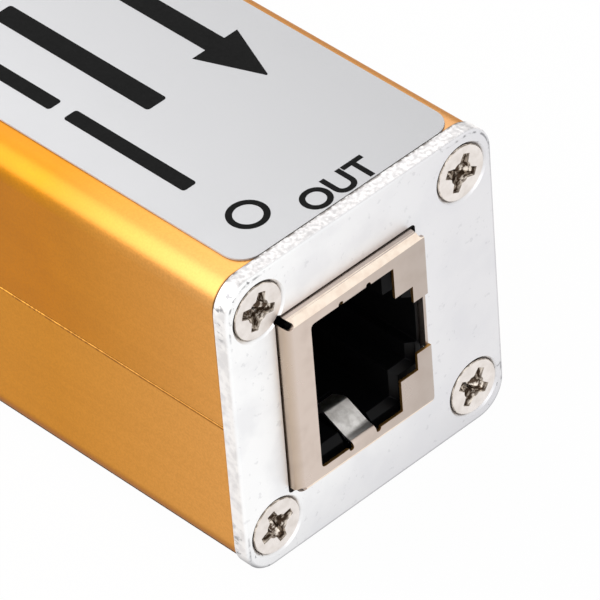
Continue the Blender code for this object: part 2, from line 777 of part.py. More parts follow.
def board_holes():
    """Give the cutters for one end's half of the board, in the frame of the board's middle."""
    cutters = []
    lead_room = 2 * HOLE_CLEARANCE
    pin = math.hypot(CONTACT_WIDTH, CONTACT_SHEET)
    for up, tail in contact_rows():
        cutters.append(hole(pin + lead_room, JACK_FACE + tail, JACK_SHIFT_Z + up))
    for side in (-1, 1):
        post_up = JACK_SHIFT_Z + side * POST_PITCH / 2
        cutters.append(hole(POST_DIAMETER + lead_room, JACK_FACE - POST_SETBACK, post_up))
        tab_up = JACK_SHIFT_Z + side * (JACK_HEIGHT / 2 - SHEET / 2)
        tab_along = JACK_FACE - SHIELD_TAB_SETBACK
        reach = (SHIELD_TAB / 2 + HOLE_CLEARANCE, SHEET / 2 + HOLE_CLEARANCE)
        low = (tab_along - reach[0], tab_up - reach[1])
        slot = rectangle(low, (tab_along + reach[0], tab_up + reach[1]))
        cutters.append(extrude(slot, "Y", BOARD_FACE - OVERRUN, BOARD_FAR_FACE + OVERRUN))
        for lead in arrester_leads():
            cutters.append(hole(ARRESTER_LEAD + lead_room, ARRESTER_X + lead, side * ROW_HEIGHT))
    return cutters


def board_mesh():
    """Make the circuit board, which stands on edge in the shells' slots."""
    half_length = PLATE_BACK - BOARD_END_GAP
    low = (-half_length, -BOARD_HALF_HEIGHT)
    outline = rectangle(low, (half_length, BOARD_HALF_HEIGHT))
    board = extrude(outline, "Y", BOARD_FACE, BOARD_FAR_FACE)
    cutters = []
    for turn in ENDS.values():
        half_turn = Matrix.Rotation(turn, 3, "Y")
        cutters += [moved(cutter, (0, 0, 0), half_turn) for cutter in board_holes()]
    return worked("board", board, cuts=[gathered(cutters)])


def arrester_leads():
    """Give the places of an arrester's three leads along its body."""
    reach = (ARRESTER_LENGTH - ELECTRODE_WIDTH) / 2
    return (-reach, 0.0, reach)


def arrester_mesh():
    """Make a gas discharge tube, with electrodes at both ends and in the middle."""
    body = TUBE_BODY / 2
    rim = ELECTRODE_DIAMETER / 2
    profile = [(-ARRESTER_LENGTH / 2, 0.0)]
    for lead in arrester_leads():
        low = lead - ELECTRODE_WIDTH / 2
        high = lead + ELECTRODE_WIDTH / 2
        if lead > -ARRESTER_LENGTH / 2 + ELECTRODE_WIDTH:
            profile.append((low, body))
        profile += [(low, rim), (high, rim)]
        if lead < ARRESTER_LENGTH / 2 - ELECTRODE_WIDTH:
            profile.append((high, body))
    profile.append((ARRESTER_LENGTH / 2, 0.0))
    seat = rim + SEAT_GAP
    leads = []
    for lead in arrester_leads():
        wire = rod(ARRESTER_LEAD, 0.0, seat + BOARD_THICKNESS + TAIL_OVERRUN)
        leads.append(moved(wire, (lead, 0.0, 0.0), Matrix.Rotation(math.radians(90), 3, "Z")))
    return smooth(worked("arrester", turned(profile, ARRESTER_STEPS), additions=leads))


def array_mesh():
    """Make a diode array in its small moulded package, lying on the board."""
    half = (ARRAY_LENGTH / 2, ARRAY_WIDTH / 2)
    sole = BOARD_FACE - SEAT_GAP
    bottom = sole - ARRAY_STANDOFF
    middle = bottom - ARRAY_HEIGHT / 2
    top = bottom - ARRAY_HEIGHT
    body = bmesh.new()
    loops = []
    for depth, draft in ((bottom, ARRAY_DRAFT), (middle, 0.0), (top, ARRAY_DRAFT)):
        ring = rectangle((-half[0] + draft, -half[1] + draft), (half[0] - draft, half[1] - draft))
        loops.append([body.verts.new((along, depth, up)) for along, up in ring])
    body.faces.new(loops[0])
    body.faces.new(loops[-1])
    for lower, upper in zip(loops, loops[1:]):
        for index in range(4):
            after = (index + 1) % 4
            body.faces.new((lower[index], lower[after], upper[after], upper[index]))
    legs = []
    foot = sole - ARRAY_LEG_SHEET / 2
    for side in (-1, 1):
        corners = [
            (middle, half[1] - ARRAY_DRAFT),
            (middle, half[1] + ARRAY_LEG_REACH / 2),
            (foot, half[1] + ARRAY_LEG_REACH / 2),
            (foot, half[1] + ARRAY_LEG_REACH),
        ]
        path = bent(corners, ARRAY_LEG_SHEET, 1)
        outline = [(depth, side * up) for depth, up in thickened(path, ARRAY_LEG_SHEET)]
        for index in range(ARRAY_LEGS):
            along = (index - (ARRAY_LEGS - 1) / 2) * ARRAY_LEG_PITCH
            near = along - ARRAY_LEG_WIDTH / 2
            legs.append(extrude(outline, "X", near, near + ARRAY_LEG_WIDTH))
    return worked("array", body, additions=[gathered(legs)])


def label_mesh():
    """Make the label on the top face."""
    low = (-TUBE_LENGTH / 2 + LABEL_MARGIN_END, -TUBE_WIDTH / 2 + LABEL_MARGIN_NEAR)
    high = (TUBE_LENGTH / 2 - LABEL_MARGIN_END, TUBE_WIDTH / 2 - LABEL_MARGIN_FAR)
    sole = TUBE_HEIGHT / 2 + LABEL_GAP
    sheet = extrude(rounded_rectangle(low, high, LABEL_CORNER), "Z", sole, sole + LABEL_THICKNESS)
    return to_mesh(sheet, "label")


def case_frame():
    """Give the frame of the case's middle."""
    return Matrix.Translation((0.0, 0.0, CENTRE_HEIGHT * MM))


def end_frame(turn):
    """Give the frame of one end: the outgoing end, or the same turned half round about Y."""
    return case_frame() @ Matrix.Rotation(turn, 4, "Y")


def offset(x, y, z):
    """Give a move in millimetres as a matrix."""
    return Matrix.Translation(Vector((x, y, z)) * MM)


def build_case(paint):
    """Place the two half shells and the label."""
    shell = shell_mesh()
    place("upper_shell", shell, paint["gold"], case_frame())
    place("lower_shell", shell, paint["gold"], case_frame() @ Matrix.Rotation(math.pi, 4, "X"))
    place("label", label_mesh(), paint["label"], case_frame())


def build_ends(paint):
    """Place the end plates, their screws and the sockets."""
    plate = plate_mesh()
    screw = screw_mesh()
    shield = shield_mesh()
    housing = housing_mesh()
    carrier = carrier_mesh()
    contacts = [contact_mesh(tail) for _, tail in contact_rows()[:2]]
    for end, turn in ENDS.items():
        frame = end_frame(turn)
        socket = frame @ offset(JACK_FACE, JACK_SHIFT_Y, JACK_SHIFT_Z)
        place(f"end_plate_{end}", plate, paint["aluminium"], frame)
        for number, ((y, z), twist) in enumerate(zip(screw_places(), SCREW_TURNS), 1):
            seat = frame @ offset(PLATE_FRONT, y, z) @ Matrix.Rotation(math.radians(twist), 4, "X")
            place(f"plate_screw_{end}_{number}", screw, paint["nickel"], seat)
        place(f"jack_shield_{end}", shield, paint["tin"], socket)
        place(f"jack_housing_{end}", housing, paint["black"], socket)
        place(f"contact_carrier_{end}", carrier, paint["black"], socket)
        for index, (up, _) in enumerate(contact_rows()):
            spring = socket @ offset(0.0, 0.0, up)
            place(f"contact_{end}_{index + 1}", contacts[index % 2], paint["brass"], spring)


def build_board(paint):
    """Place the board with its arresters and diode arrays."""
    frame = case_frame() @ offset(0.0, JACK_SHIFT_Y, 0.0)
    place("circuit_board", board_mesh(), paint["board"], frame)
    arrester = arrester_mesh()
    array = array_mesh()
    number = 0
    for turn in ENDS.values():
        half = frame @ Matrix.Rotation(turn, 4, "Y")
        for side in (-1, 1):
            number += 1
            lift = BOARD_FACE - SEAT_GAP - ELECTRODE_DIAMETER / 2
            tube = half @ offset(ARRESTER_X, lift, side * ROW_HEIGHT)
            place(f"gas_tube_{number}", arrester, paint["ceramic"], tube)
            chip = half @ offset(ARRAY_X, 0.0, side * ROW_HEIGHT)
            place(f"diode_array_{number}", array, paint["black"], chip)


def make_paint():
    """Make one material for each finish."""
    return {
        "gold": metal("gold_anodised_aluminium", (0.78, 0.42, 0.11), 0.35),
        "aluminium": metal("bare_aluminium", (0.86, 0.86, 0.87), 0.45),
        "nickel": metal("nickel_plate", (0.60, 0.54, 0.48), 0.3),
        "tin": metal("plated_sheet", (0.58, 0.52, 0.47), 0.35),
        "brass": metal("gilt_contacts", (0.83, 0.66, 0.32), 0.3),
        "label": finish("silver_label", (0.62, 0.62, 0.63), 0.55),
        "black": finish("black_plastic", (0.012, 0.012, 0.013), 0.45),
        "board": finish("green_board", (0.02, 0.16, 0.06), 0.5),
        "ceramic": finish("white_ceramic", (0.72, 0.70, 0.68), 0.4),
    }


def main():
    """Clear the scene and build the surge protector."""
    for leftover in list(bpy.data.objects):
        bpy.data.objects.remove(leftover)
    paint = make_paint()
    build_case(paint)
    build_ends(paint)
    build_board(paint)


main()
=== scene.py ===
"""Looks of the in-line network surge protector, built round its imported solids.

The case is two anodised extrusions closed by bare aluminium end plates, with a nickel plated
socket shield in each. Sizes are in metres, and MM turns a size in millimetres into them. The
finishes' patterns are in millimetres.
"""
import logging
import math
from dataclasses import dataclass, field
from enum import Enum
from functools import cache
from typing import Callable

import bmesh
import bpy
from bpy.types import Material, Node, NodeSocket, NodeTree, Object, World
from mathutils import Matrix, Vector


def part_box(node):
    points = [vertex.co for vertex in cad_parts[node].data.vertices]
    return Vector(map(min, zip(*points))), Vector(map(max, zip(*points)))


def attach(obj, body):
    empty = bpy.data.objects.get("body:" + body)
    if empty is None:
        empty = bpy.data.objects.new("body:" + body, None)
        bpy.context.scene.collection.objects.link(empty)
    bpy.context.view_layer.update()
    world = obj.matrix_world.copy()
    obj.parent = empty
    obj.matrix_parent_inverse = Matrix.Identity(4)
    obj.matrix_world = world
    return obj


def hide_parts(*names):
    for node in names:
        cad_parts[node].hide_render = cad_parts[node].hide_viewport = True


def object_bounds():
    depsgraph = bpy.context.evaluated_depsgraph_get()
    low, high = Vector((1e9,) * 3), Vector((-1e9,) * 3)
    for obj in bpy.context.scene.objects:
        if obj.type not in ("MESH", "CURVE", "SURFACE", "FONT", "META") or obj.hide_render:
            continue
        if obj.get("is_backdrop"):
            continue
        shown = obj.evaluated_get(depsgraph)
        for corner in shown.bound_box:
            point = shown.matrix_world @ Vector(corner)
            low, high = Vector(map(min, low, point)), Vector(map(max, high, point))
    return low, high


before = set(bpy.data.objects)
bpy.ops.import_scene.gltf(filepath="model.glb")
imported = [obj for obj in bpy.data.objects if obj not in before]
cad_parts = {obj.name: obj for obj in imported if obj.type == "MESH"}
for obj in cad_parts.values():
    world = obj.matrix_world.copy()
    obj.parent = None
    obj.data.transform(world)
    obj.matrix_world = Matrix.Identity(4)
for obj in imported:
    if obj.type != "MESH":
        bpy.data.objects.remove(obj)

MM = 0.001
# Points nearer than this are one.
MERGE = 1e-7
# A point nearer than this to a flat face or a line lies on it.
TOUCH = 0.001 * MM
HAIR = 0.01 * MM
# An edge whose direction has this share of an axis runs along it.
ALONG = 0.99
# A cutter of this length goes right through a sheet.
THROUGH = 2 * MM
log = logging.getLogger("surge_protector")
Test = Callable[[Vector], bool]
FaceTest = Callable[[Vector, Vector], bool]
Triple = tuple[float, float, float]
Corners = tuple[Vector, Vector]


class Part(Enum):
    """What a selection in edit mode takes."""

    POINTS = "VERT"
    EDGES = "EDGE"
    FACES = "FACE"


class Axis(Enum):
    """The three axes, by their places in a vector."""

    X = 0
    Y = 1
    Z = 2


class Slot(Enum):
    """The record's material slots."""

    GOLD = "gold_anodised"
    PLATE = "bare_aluminium"
    SCREW = "screw_nickel"
    SHEET = "shield_sheet"
    SOCKET = "socket_plastic"
    FILM = "label_film"


# Modelling by hand


@cache
def node_box(node: str) -> Corners:
    """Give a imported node's lowest and highest corners, measured once."""
    low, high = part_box(node)
    return Vector(low), Vector(high)


def everywhere(point: Vector) -> bool:
    """Pass every point."""
    return True


def nowhere(point: Vector) -> bool:
    """Pass no point."""
    return False


def clear_selection() -> None:
    """Leave edit mode and deselect everything."""
    if bpy.context.object and bpy.context.object.mode != "OBJECT":
        bpy.ops.object.mode_set(mode="OBJECT")
    bpy.ops.object.select_all(action="DESELECT")


def focus(piece: Object) -> None:
    """Select one piece alone and make it active.

    Args:
        piece: The piece to work on.
    """
    clear_selection()
    piece.select_set(True)
    bpy.context.view_layer.objects.active = piece


def apply_place() -> None:
    """Put the place, turn and size of the selected objects into their meshes."""
    bpy.ops.object.transform_apply(location=True, rotation=True, scale=True)


def settle(name: str) -> Object:
    """Name the new primitive and put its place into its mesh.

    Args:
        name: The piece's name.

    Returns:
        The piece, with its object at the origin.
    """
    piece = bpy.context.object
    apply_place()
    piece.name = name
    piece.data.name = name
    return piece


def block(name: str, low: Vector | Triple, high: Vector | Triple) -> Object:
    """Add a cube and size it between two corners.

    Args:
        name: The piece's name.
        low: Its lowest corner.
        high: Its highest corner.

    Returns:
        The new block.
    """
    clear_selection()
    low, high = Vector(low), Vector(high)
    bpy.ops.mesh.primitive_cube_add(size=1, location=(low + high) / 2, scale=high - low)
    return settle(name)


def pick(
    piece: Object, part: Part, wanted: Test, axis: Axis | None = None, spared: Test = nowhere
) -> None:
    """Enter edit mode and select the parts whose points all pass a test.

    Args:
        piece: The piece to select on.
        part: Points, edges or faces.
        wanted: The test of a point's place.
        axis: Where it is given, only edges along this axis count.
        spared: Parts whose points all pass this test are left out.
    """
    focus(piece)
    bpy.ops.object.mode_set(mode="EDIT")
    bpy.ops.mesh.select_mode(type=part.value)
    bpy.ops.mesh.select_all(action="DESELECT")
    shape = bmesh.from_edit_mesh(piece.data)
    items = {Part.POINTS: shape.verts, Part.EDGES: shape.edges, Part.FACES: shape.faces}[part]
    for item in items:
        places = [item.co] if part is Part.POINTS else [point.co for point in item.verts]
        chosen = all(map(wanted, places)) and not all(map(spared, places))
        if axis is not None:
            chosen = chosen and abs((places[1] - places[0]).normalized()[axis.value]) > ALONG
        item.select_set(chosen)
    shape.select_flush_mode()
    bmesh.update_edit_mesh(piece.data)


def bevel(
    piece: Object,
    width: float,
    segments: int,
    wanted: Test = everywhere,
    axis: Axis | None = None,
    spared: Test = nowhere,
) -> None:
    """Bevel the edges whose two points pass a test.

    Args:
        piece: The piece to bevel.
        width: The bevel's width.
        segments: How many faces round it.
        wanted: The test of a point's place.
        axis: Where it is given, only edges along this axis count.
        spared: Edges whose points both pass this test stay sharp.
    """
    pick(piece, Part.EDGES, wanted, axis, spared)
    bpy.ops.mesh.bevel(offset=width, offset_type="OFFSET", segments=segments, affect="EDGES")
    bpy.ops.object.mode_set(mode="OBJECT")


def move_points(piece: Object, wanted: Test, step: Triple) -> None:
    """Move the points that pass a test.

    Args:
        piece: The piece to change.
        wanted: The test of a point's place.
        step: The move.
    """
    pick(piece, Part.POINTS, wanted)
    bpy.ops.transform.translate(value=step)
    bpy.ops.object.mode_set(mode="OBJECT")


def resize_picked(growth: Triple, centre: Vector | Triple) -> None:
    """Resize what is selected about a point."""
    bpy.ops.transform.resize(value=growth, center_override=tuple(centre))


def extrude(step: Vector | Triple) -> None:
    """Extrude what is selected in edit mode by a step."""
    bpy.ops.mesh.extrude_region_move(TRANSFORM_OT_translate={"value": step})


def edit_whole(piece: Object, *operators: Callable[[], object]) -> None:
    """Run edit mode operators on the whole of a mesh.

    Args:
        piece: The piece.
        operators: The operators, each with its settings.
    """
    focus(piece)
    bpy.ops.object.mode_set(mode="EDIT")
    bpy.ops.mesh.select_all(action="SELECT")
    for operator in operators:
        operator()
    bpy.ops.object.mode_set(mode="OBJECT")


def close_up(piece: Object, distance: float = MERGE) -> None:
    """Merge a mesh's doubled points and turn its faces outwards.

    Args:
        piece: The piece to tidy.
        distance: Points nearer than this are one.
    """
    edit_whole(
        piece,
        lambda: bpy.ops.mesh.remove_doubles(threshold=distance),
        lambda: bpy.ops.mesh.normals_make_consistent(inside=False),
    )


def merge_flats(piece: Object, degrees: float) -> None:
    """Dissolve the edges between faces that turn less than an angle."""
    limit = math.radians(degrees)
    edit_whole(piece, lambda: bpy.ops.mesh.dissolve_limited(angle_limit=limit))


def apply_modifier(piece: Object, kind: str, **settings: object) -> None:
    """Add a modifier with its settings and apply it.

    Args:
        piece: The piece it works on.
        kind: The modifier's type.
        settings: Its settings by name.
    """
    focus(piece)
    modifier = piece.modifiers.new(kind.title(), kind)
    for name, value in settings.items():
        setattr(modifier, name, value)
    bpy.ops.object.modifier_apply(modifier=modifier.name)


def enlarge(growth: float, *pieces: Object) -> None:
    """Scale pieces about the origin, meshes and all.

    Args:
        growth: How much larger they get.
        pieces: The pieces.
    """
    clear_selection()
    for piece in pieces:
        piece.select_set(True)
        piece.scale = (growth, growth, growth)
    bpy.context.view_layer.objects.active = pieces[0]
    apply_place()


def cut(piece: Object, *tools: Object) -> None:
    """Cut tools out of a piece one after another, and remove them.

    The solver loses walls of a quarter of a millimetre in metres, so it works in millimetres, and
    on triangles, which it cuts without gaps.

    Args:
        piece: The piece to cut.
        tools: The closed shapes to take away.
    """
    enlarge(1 / MM, piece, *tools)
    for tool in tools:
        for shape in (piece, tool):
            edit_whole(shape, lambda: bpy.ops.mesh.quads_convert_to_tris())
        apply_modifier(piece, "BOOLEAN", operation="DIFFERENCE", solver="EXACT", object=tool)
        bpy.data.objects.remove(tool)
        close_up(piece, MERGE / MM)
    merge_flats(piece, degrees=0.3)
    enlarge(MM, piece)


def shade(piece: Object, angle: float) -> None:
    """Shade a piece smooth, weighting its normals by face size.

    Args:
        piece: The piece to shade.
        angle: The angle in degrees past which an edge stays sharp.
    """
    focus(piece)
    bpy.ops.object.shade_smooth_by_angle(angle=math.radians(angle))
    apply_modifier(piece, "WEIGHTED_NORMAL", keep_sharp=True, weight=80)


def soften(piece: Object, width: float, angle: float = 40.0) -> None:
    """Round every sharp edge a little and shade the piece smooth, with its flats kept flat.

    Args:
        piece: The piece to finish.
        width: The rounding's width.
        angle: The smallest angle in degrees that counts as sharp.
    """
    limits = {"limit_method": "ANGLE", "angle_limit": math.radians(angle), "use_clamp_overlap": True}
    apply_modifier(piece, "BEVEL", width=width, segments=2, **limits)
    shade(piece, angle)


def copy_of(source: Object, name: str) -> Object:
    """Copy an object's mesh into a piece of its own.

    Args:
        source: The object to copy.
        name: The copy's name.

    Returns:
        The copy.
    """
    piece = bpy.data.objects.new(name, source.data.copy())
    piece.data.name = name
    bpy.context.scene.collection.objects.link(piece)
    return piece


def copy_of_node(node: str, name: str) -> Object:
    """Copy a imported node, merged from its loose triangles into whole flat faces.

    Args:
        node: The node to copy.
        name: The copy's name.

    Returns:
        The copy, free of the frame.
    """
    piece = copy_of(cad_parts[node], name)
    piece.data.materials.clear()
    close_up(piece, TOUCH)
    merge_flats(piece, degrees=0.5)
    return piece


def turned(piece: Object, middle: Vector, degrees: float, axis: Axis) -> Object:
    """Turn a piece's mesh about a line through a point.

    Args:
        piece: The piece to turn.
        middle: A point on the line.
        degrees: The turn.
        axis: The line's direction.

    Returns:
        The same piece.
    """
    about = Matrix.Rotation(math.radians(degrees), 4, axis.name)
    piece.matrix_world = Matrix.Translation(middle) @ about @ Matrix.Translation(-middle)
    focus(piece)
    apply_place()
    return piece


def turned_form(
    name: str, points: int, radius: float, start: Vector, steps: list[tuple[float, float]]
) -> Object:
    """Draw a circle out along X into a closed form, as on a lathe.

    Args:
        name: The form's name.
        points: How many points go round it.
        radius: The first circle's radius.
        start: The first circle's middle.
        steps: The reach along X and the growth of each further circle.

    Returns:
        The form.
    """
    clear_selection()
    quarter = (0, math.pi / 2, 0)
    bpy.ops.mesh.primitive_circle_add(
        vertices=points, radius=radius, fill_type="NGON", location=start, rotation=quarter
    )
    form = settle(name)
    bpy.ops.object.mode_set(mode="EDIT")
    bpy.ops.mesh.select_all(action="SELECT")
    for reach, growth in steps:
        extrude((reach, 0, 0))
        if growth != 1.0:
            resize_picked((1.0, growth, growth), start)
    bpy.ops.object.mode_set(mode="OBJECT")
    close_up(form)
    return form


def round_bar(name: str, points: int, radius: float, length: float, place: Vector) -> Object:
    """Add a round bar along X.

    Args:
        name: The bar's name.
        points: How many points go round it.
        radius: Its radius.
        length: Its length.
        place: Its middle.

    Returns:
        The bar.
    """
    clear_selection()
    quarter = (0, math.pi / 2, 0)
    bpy.ops.mesh.primitive_cylinder_add(
        vertices=points, radius=radius, depth=length, location=place, rotation=quarter
    )
    return settle(name)


def dress(piece: Object, finish: Material) -> None:
    """Give a piece its one material.

    Args:
        piece: The piece to dress.
        finish: Its material.
    """
    piece.data.materials.clear()
    piece.data.materials.append(finish)


def paint_faces(piece: Object, finish: Material, wanted: FaceTest) -> None:
    """Give some of a piece's faces a second finish.

    Args:
        piece: The piece to paint.
        finish: The finish of those faces.
        wanted: The test of a face, by its middle and its normal.
    """
    piece.data.materials.append(finish)
    number = len(piece.data.materials) - 1
    for face in piece.data.polygons:
        if wanted(face.center, face.normal):
            face.material_index = number


def hand_over(piece: Object, *nodes: str) -> None:
    """Let a finished piece ride with the case and stand for its nodes.

    Args:
        piece: The finished piece.
        nodes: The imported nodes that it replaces.
    """
    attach(piece, "root")
    if nodes:
        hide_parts(*nodes)
    log.info("%s: %d faces", piece.name, len(piece.data.polygons))


def hand_over_pair(piece: Object, node: str) -> None:
    """Copy a finished outgoing piece to the incoming end, and hand both over.

    Args:
        piece: The finished piece of the outgoing end.
        node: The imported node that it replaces.
    """
    low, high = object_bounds()
    twin = copy_of(piece, piece.name.replace("_out", "_in"))
    turned(twin, (Vector(low) + Vector(high)) / 2, 180.0, Axis.Y)
    hand_over(piece, node)
    hand_over(twin, node.replace("_out", "_in"))


# How a finish is described and made


def linear(colour: str) -> tuple[float, float, float, float]:
    """Turn an sRGB hex colour into linear values.

    Args:
        colour: Six hex digits after a hash sign.

    Returns:
        Red, green, blue and an alpha of one.
    """
    values = [int(colour[index : index + 2], 16) / 255 for index in (1, 3, 5)]
    turned_values = [v / 12.92 if v <= 0.04045 else ((v + 0.055) / 1.055) ** 2.4 for v in values]
    return (*turned_values, 1.0)


def feed(tree: NodeTree, node: Node, name: str | int, value: object) -> None:
    """Link a node's input to the socket that feeds it, or set its value.

    Args:
        tree: The node tree.
        node: The node.
        name: The input's name or number.
        value: The socket or the value.
    """
    if isinstance(value, NodeSocket):
        tree.links.new(value, node.inputs[name])
    else:
        node.inputs[name].default_value = value


def add_node(
    tree: NodeTree, kind: str, inputs: dict[str | int, object], **settings: object
) -> Node:
    """Add a shader node with its input values, its links and its settings.

    Args:
        tree: The node tree it goes into.
        kind: The node's type name, without "ShaderNode".
        inputs: Input name or number to a value, or to the output socket that feeds it.
        settings: Properties to set on the node.

    Returns:
        The new node.
    """
    node = tree.nodes.new("ShaderNode" + kind)
    for name, value in settings.items():
        setattr(node, name, value)
    for name, value in inputs.items():
        feed(tree, node, name, value)
    return node


class Step(Enum):
    """How a value is worked out from one or two others."""

    UNSIGNED = "ABSOLUTE"
    LESS = "SUBTRACT"
    PLUS = "ADD"
    TIMES = "MULTIPLY"
    LARGER = "MAXIMUM"
    ROOT = "SQRT"


class RayKind(Enum):
    """The kinds of rays that show the background."""

    CAMERA = "Is Camera Ray"
    MIRRORED = "Is Glossy Ray"
    THROUGH_GLASS = "Is Transmission Ray"


class Pattern:
    """Something that varies over a surface, and can feed a shader."""

    def socket(self, surface: "Surface") -> NodeSocket:
        """Make its nodes.

        Args:
            surface: The surface they are made on.

        Returns:
            The socket of its value.
        """
        raise NotImplementedError


Source = float | str | Pattern


class Surface:
    """The nodes of a material or of the world, with each of their patterns made once."""

    def __init__(self, owner: Material | World) -> None:
        """Start the nodes of a new material or world.

        Args:
            owner: The material or the world.
        """
        owner.use_nodes = True
        self.tree = owner.node_tree
        self.made: dict[Pattern, NodeSocket] = {}

    def value(self, source: Source) -> object:
        """Give what a source puts into an input.

        Args:
            source: A number, an sRGB hex colour or a pattern.

        Returns:
            The number, the linear colour or the pattern's socket.
        """
        if isinstance(source, str):
            return linear(source)
        if not isinstance(source, Pattern):
            return source
        if source not in self.made:
            self.made[source] = source.socket(self)
        return self.made[source]


@dataclass(frozen=True)
class Place(Pattern):
    """The place on the object in millimetres, with patterns finer where the stretch is larger."""

    stretch: Triple = (1.0, 1.0, 1.0)

    def socket(self, surface: Surface) -> NodeSocket:
        """Make its nodes.

        Args:
            surface: The surface they are made on.

        Returns:
            The socket of the place.
        """
        source = add_node(surface.tree, "TexCoord", {}).outputs["Object"]
        scale = tuple(value / MM for value in self.stretch)
        return add_node(surface.tree, "Mapping", {"Vector": source, "Scale": scale}).outputs[0]


@dataclass(frozen=True)
class Coordinate(Pattern):
    """The place along one axis, in millimetres."""

    axis: Axis

    def socket(self, surface: Surface) -> NodeSocket:
        """Make its nodes and give the coordinate."""
        split = add_node(surface.tree, "SeparateXYZ", {0: surface.value(Place())})
        return split.outputs[self.axis.value]


@dataclass(frozen=True)
class Grain(Pattern):
    """Noise about one half whose lumps have a real size in millimetres."""

    lump: float
    detail: float = 2.0
    stretch: Triple = (1.0, 1.0, 1.0)

    def socket(self, surface: Surface) -> NodeSocket:
        """Make its nodes.

        Args:
            surface: The surface they are made on.

        Returns:
            The socket of the noise.
        """
        place = surface.value(Place(self.stretch))
        inputs = {"Vector": place, "Scale": 1.0 / self.lump, "Detail": self.detail}
        return add_node(surface.tree, "TexNoise", inputs).outputs["Fac"]


@dataclass(frozen=True)
class Worked(Pattern):
    """A value worked out from one or two others."""

    step: Step
    first: Source
    second: Source = 0.0

    def socket(self, surface: Surface) -> NodeSocket:
        """Make its nodes and give the result."""
        inputs = {0: surface.value(self.first), 1: surface.value(self.second)}
        return add_node(surface.tree, "Math", inputs, operation=self.step.value).outputs[0]


@dataclass(frozen=True)
class Fade(Pattern):
    """A value that goes from one level to another while its source goes between two limits."""

    source: Source
    low: float
    high: float
    at_low: Source = 0.0
    at_high: Source = 1.0

    def socket(self, surface: Surface) -> NodeSocket:
        """Make its nodes.

        Args:
            surface: The surface they are made on.

        Returns:
            The socket of the value, which stays at its levels past the limits.
        """
        names = ("Value", "From Min", "From Max", "To Min", "To Max")
        sources = (self.source, self.low, self.high, self.at_low, self.at_high)
        inputs = {name: surface.value(source) for name, source in zip(names, sources)}
        return add_node(surface.tree, "MapRange", inputs, clamp=True).outputs["Result"]


@dataclass(frozen=True)
class Layers(Pattern):
    """Tones one over another: the ground, and coats, each with its share."""

    ground: str
    coats: tuple[tuple[Source, Source], ...]

    def socket(self, surface: Surface) -> NodeSocket:
        """Make its nodes.

        Args:
            surface: The surface they are made on.

        Returns:
            The socket of the tone.
        """
        tone = linear(self.ground)
        for share, coat in self.coats:
            inputs = {0: surface.value(share), 6: tone, 7: surface.value(coat)}
            tone = add_node(surface.tree, "Mix", inputs, data_type="RGBA").outputs[2]
        return tone


@dataclass(frozen=True)
class Ray(Pattern):
    """One for the rays of a kind, and zero for others."""

    kind: RayKind

    def socket(self, surface: Surface) -> NodeSocket:
        """Make its node and give the value."""
        return add_node(surface.tree, "LightPath", {}).outputs[self.kind.value]


def distance(source: Source, limit: float) -> Pattern:
    """Give how far a value is from a limit, on either side of it."""
    return Worked(Step.UNSIGNED, Worked(Step.LESS, source, limit))


def excess(larger: Source, smaller: Source) -> Pattern:
    """Give by how much one value passes another, or zero."""
    return Worked(Step.LARGER, Worked(Step.LESS, larger, smaller))


def length(across: Pattern, upward: Pattern) -> Pattern:
    """Give the length of a line by its two steps."""
    squares = [Worked(Step.TIMES, side, side) for side in (across, upward)]
    return Worked(Step.ROOT, Worked(Step.PLUS, *squares))


@dataclass(frozen=True)
class Finish:
    """A finish: its tones, with any painted light, its gloss, its relief and its plain shader values.

    The relief is its height's pattern, its depth in millimetres and its strength.
    """

    name: str
    tones: Layers
    roughness: Source
    relief: tuple[Pattern, float, float] | None = None
    values: dict[str, Source] = field(default_factory=dict)

    def material(self) -> Material:
        """Make the material.

        Returns:
            The material, named for the finish.
        """
        material = bpy.data.materials.new(self.name)
        surface = Surface(material)
        shader = surface.tree.nodes["Principled BSDF"]
        inputs = {"Base Color": self.tones, "Roughness": self.roughness, **self.values}
        for name, source in inputs.items():
            feed(surface.tree, shader, name, surface.value(source))
        if self.relief is not None:
            height, depth, strength = self.relief
            shape = {"Height": surface.value(height), "Distance": depth * MM, "Strength": strength}
            feed(surface.tree, shader, "Normal", add_node(surface.tree, "Bump", shape).outputs[0])
        return material


# Finishes, with every place and pattern in millimetres

METAL = {"Metallic": 1.0}
HEIGHT = Coordinate(Axis.Z)
ACROSS = Coordinate(Axis.Y)
FROM_MIDDLE = distance(Coordinate(Axis.X), 0.0)
FROM_SIDES = distance(ACROSS, 0.0)

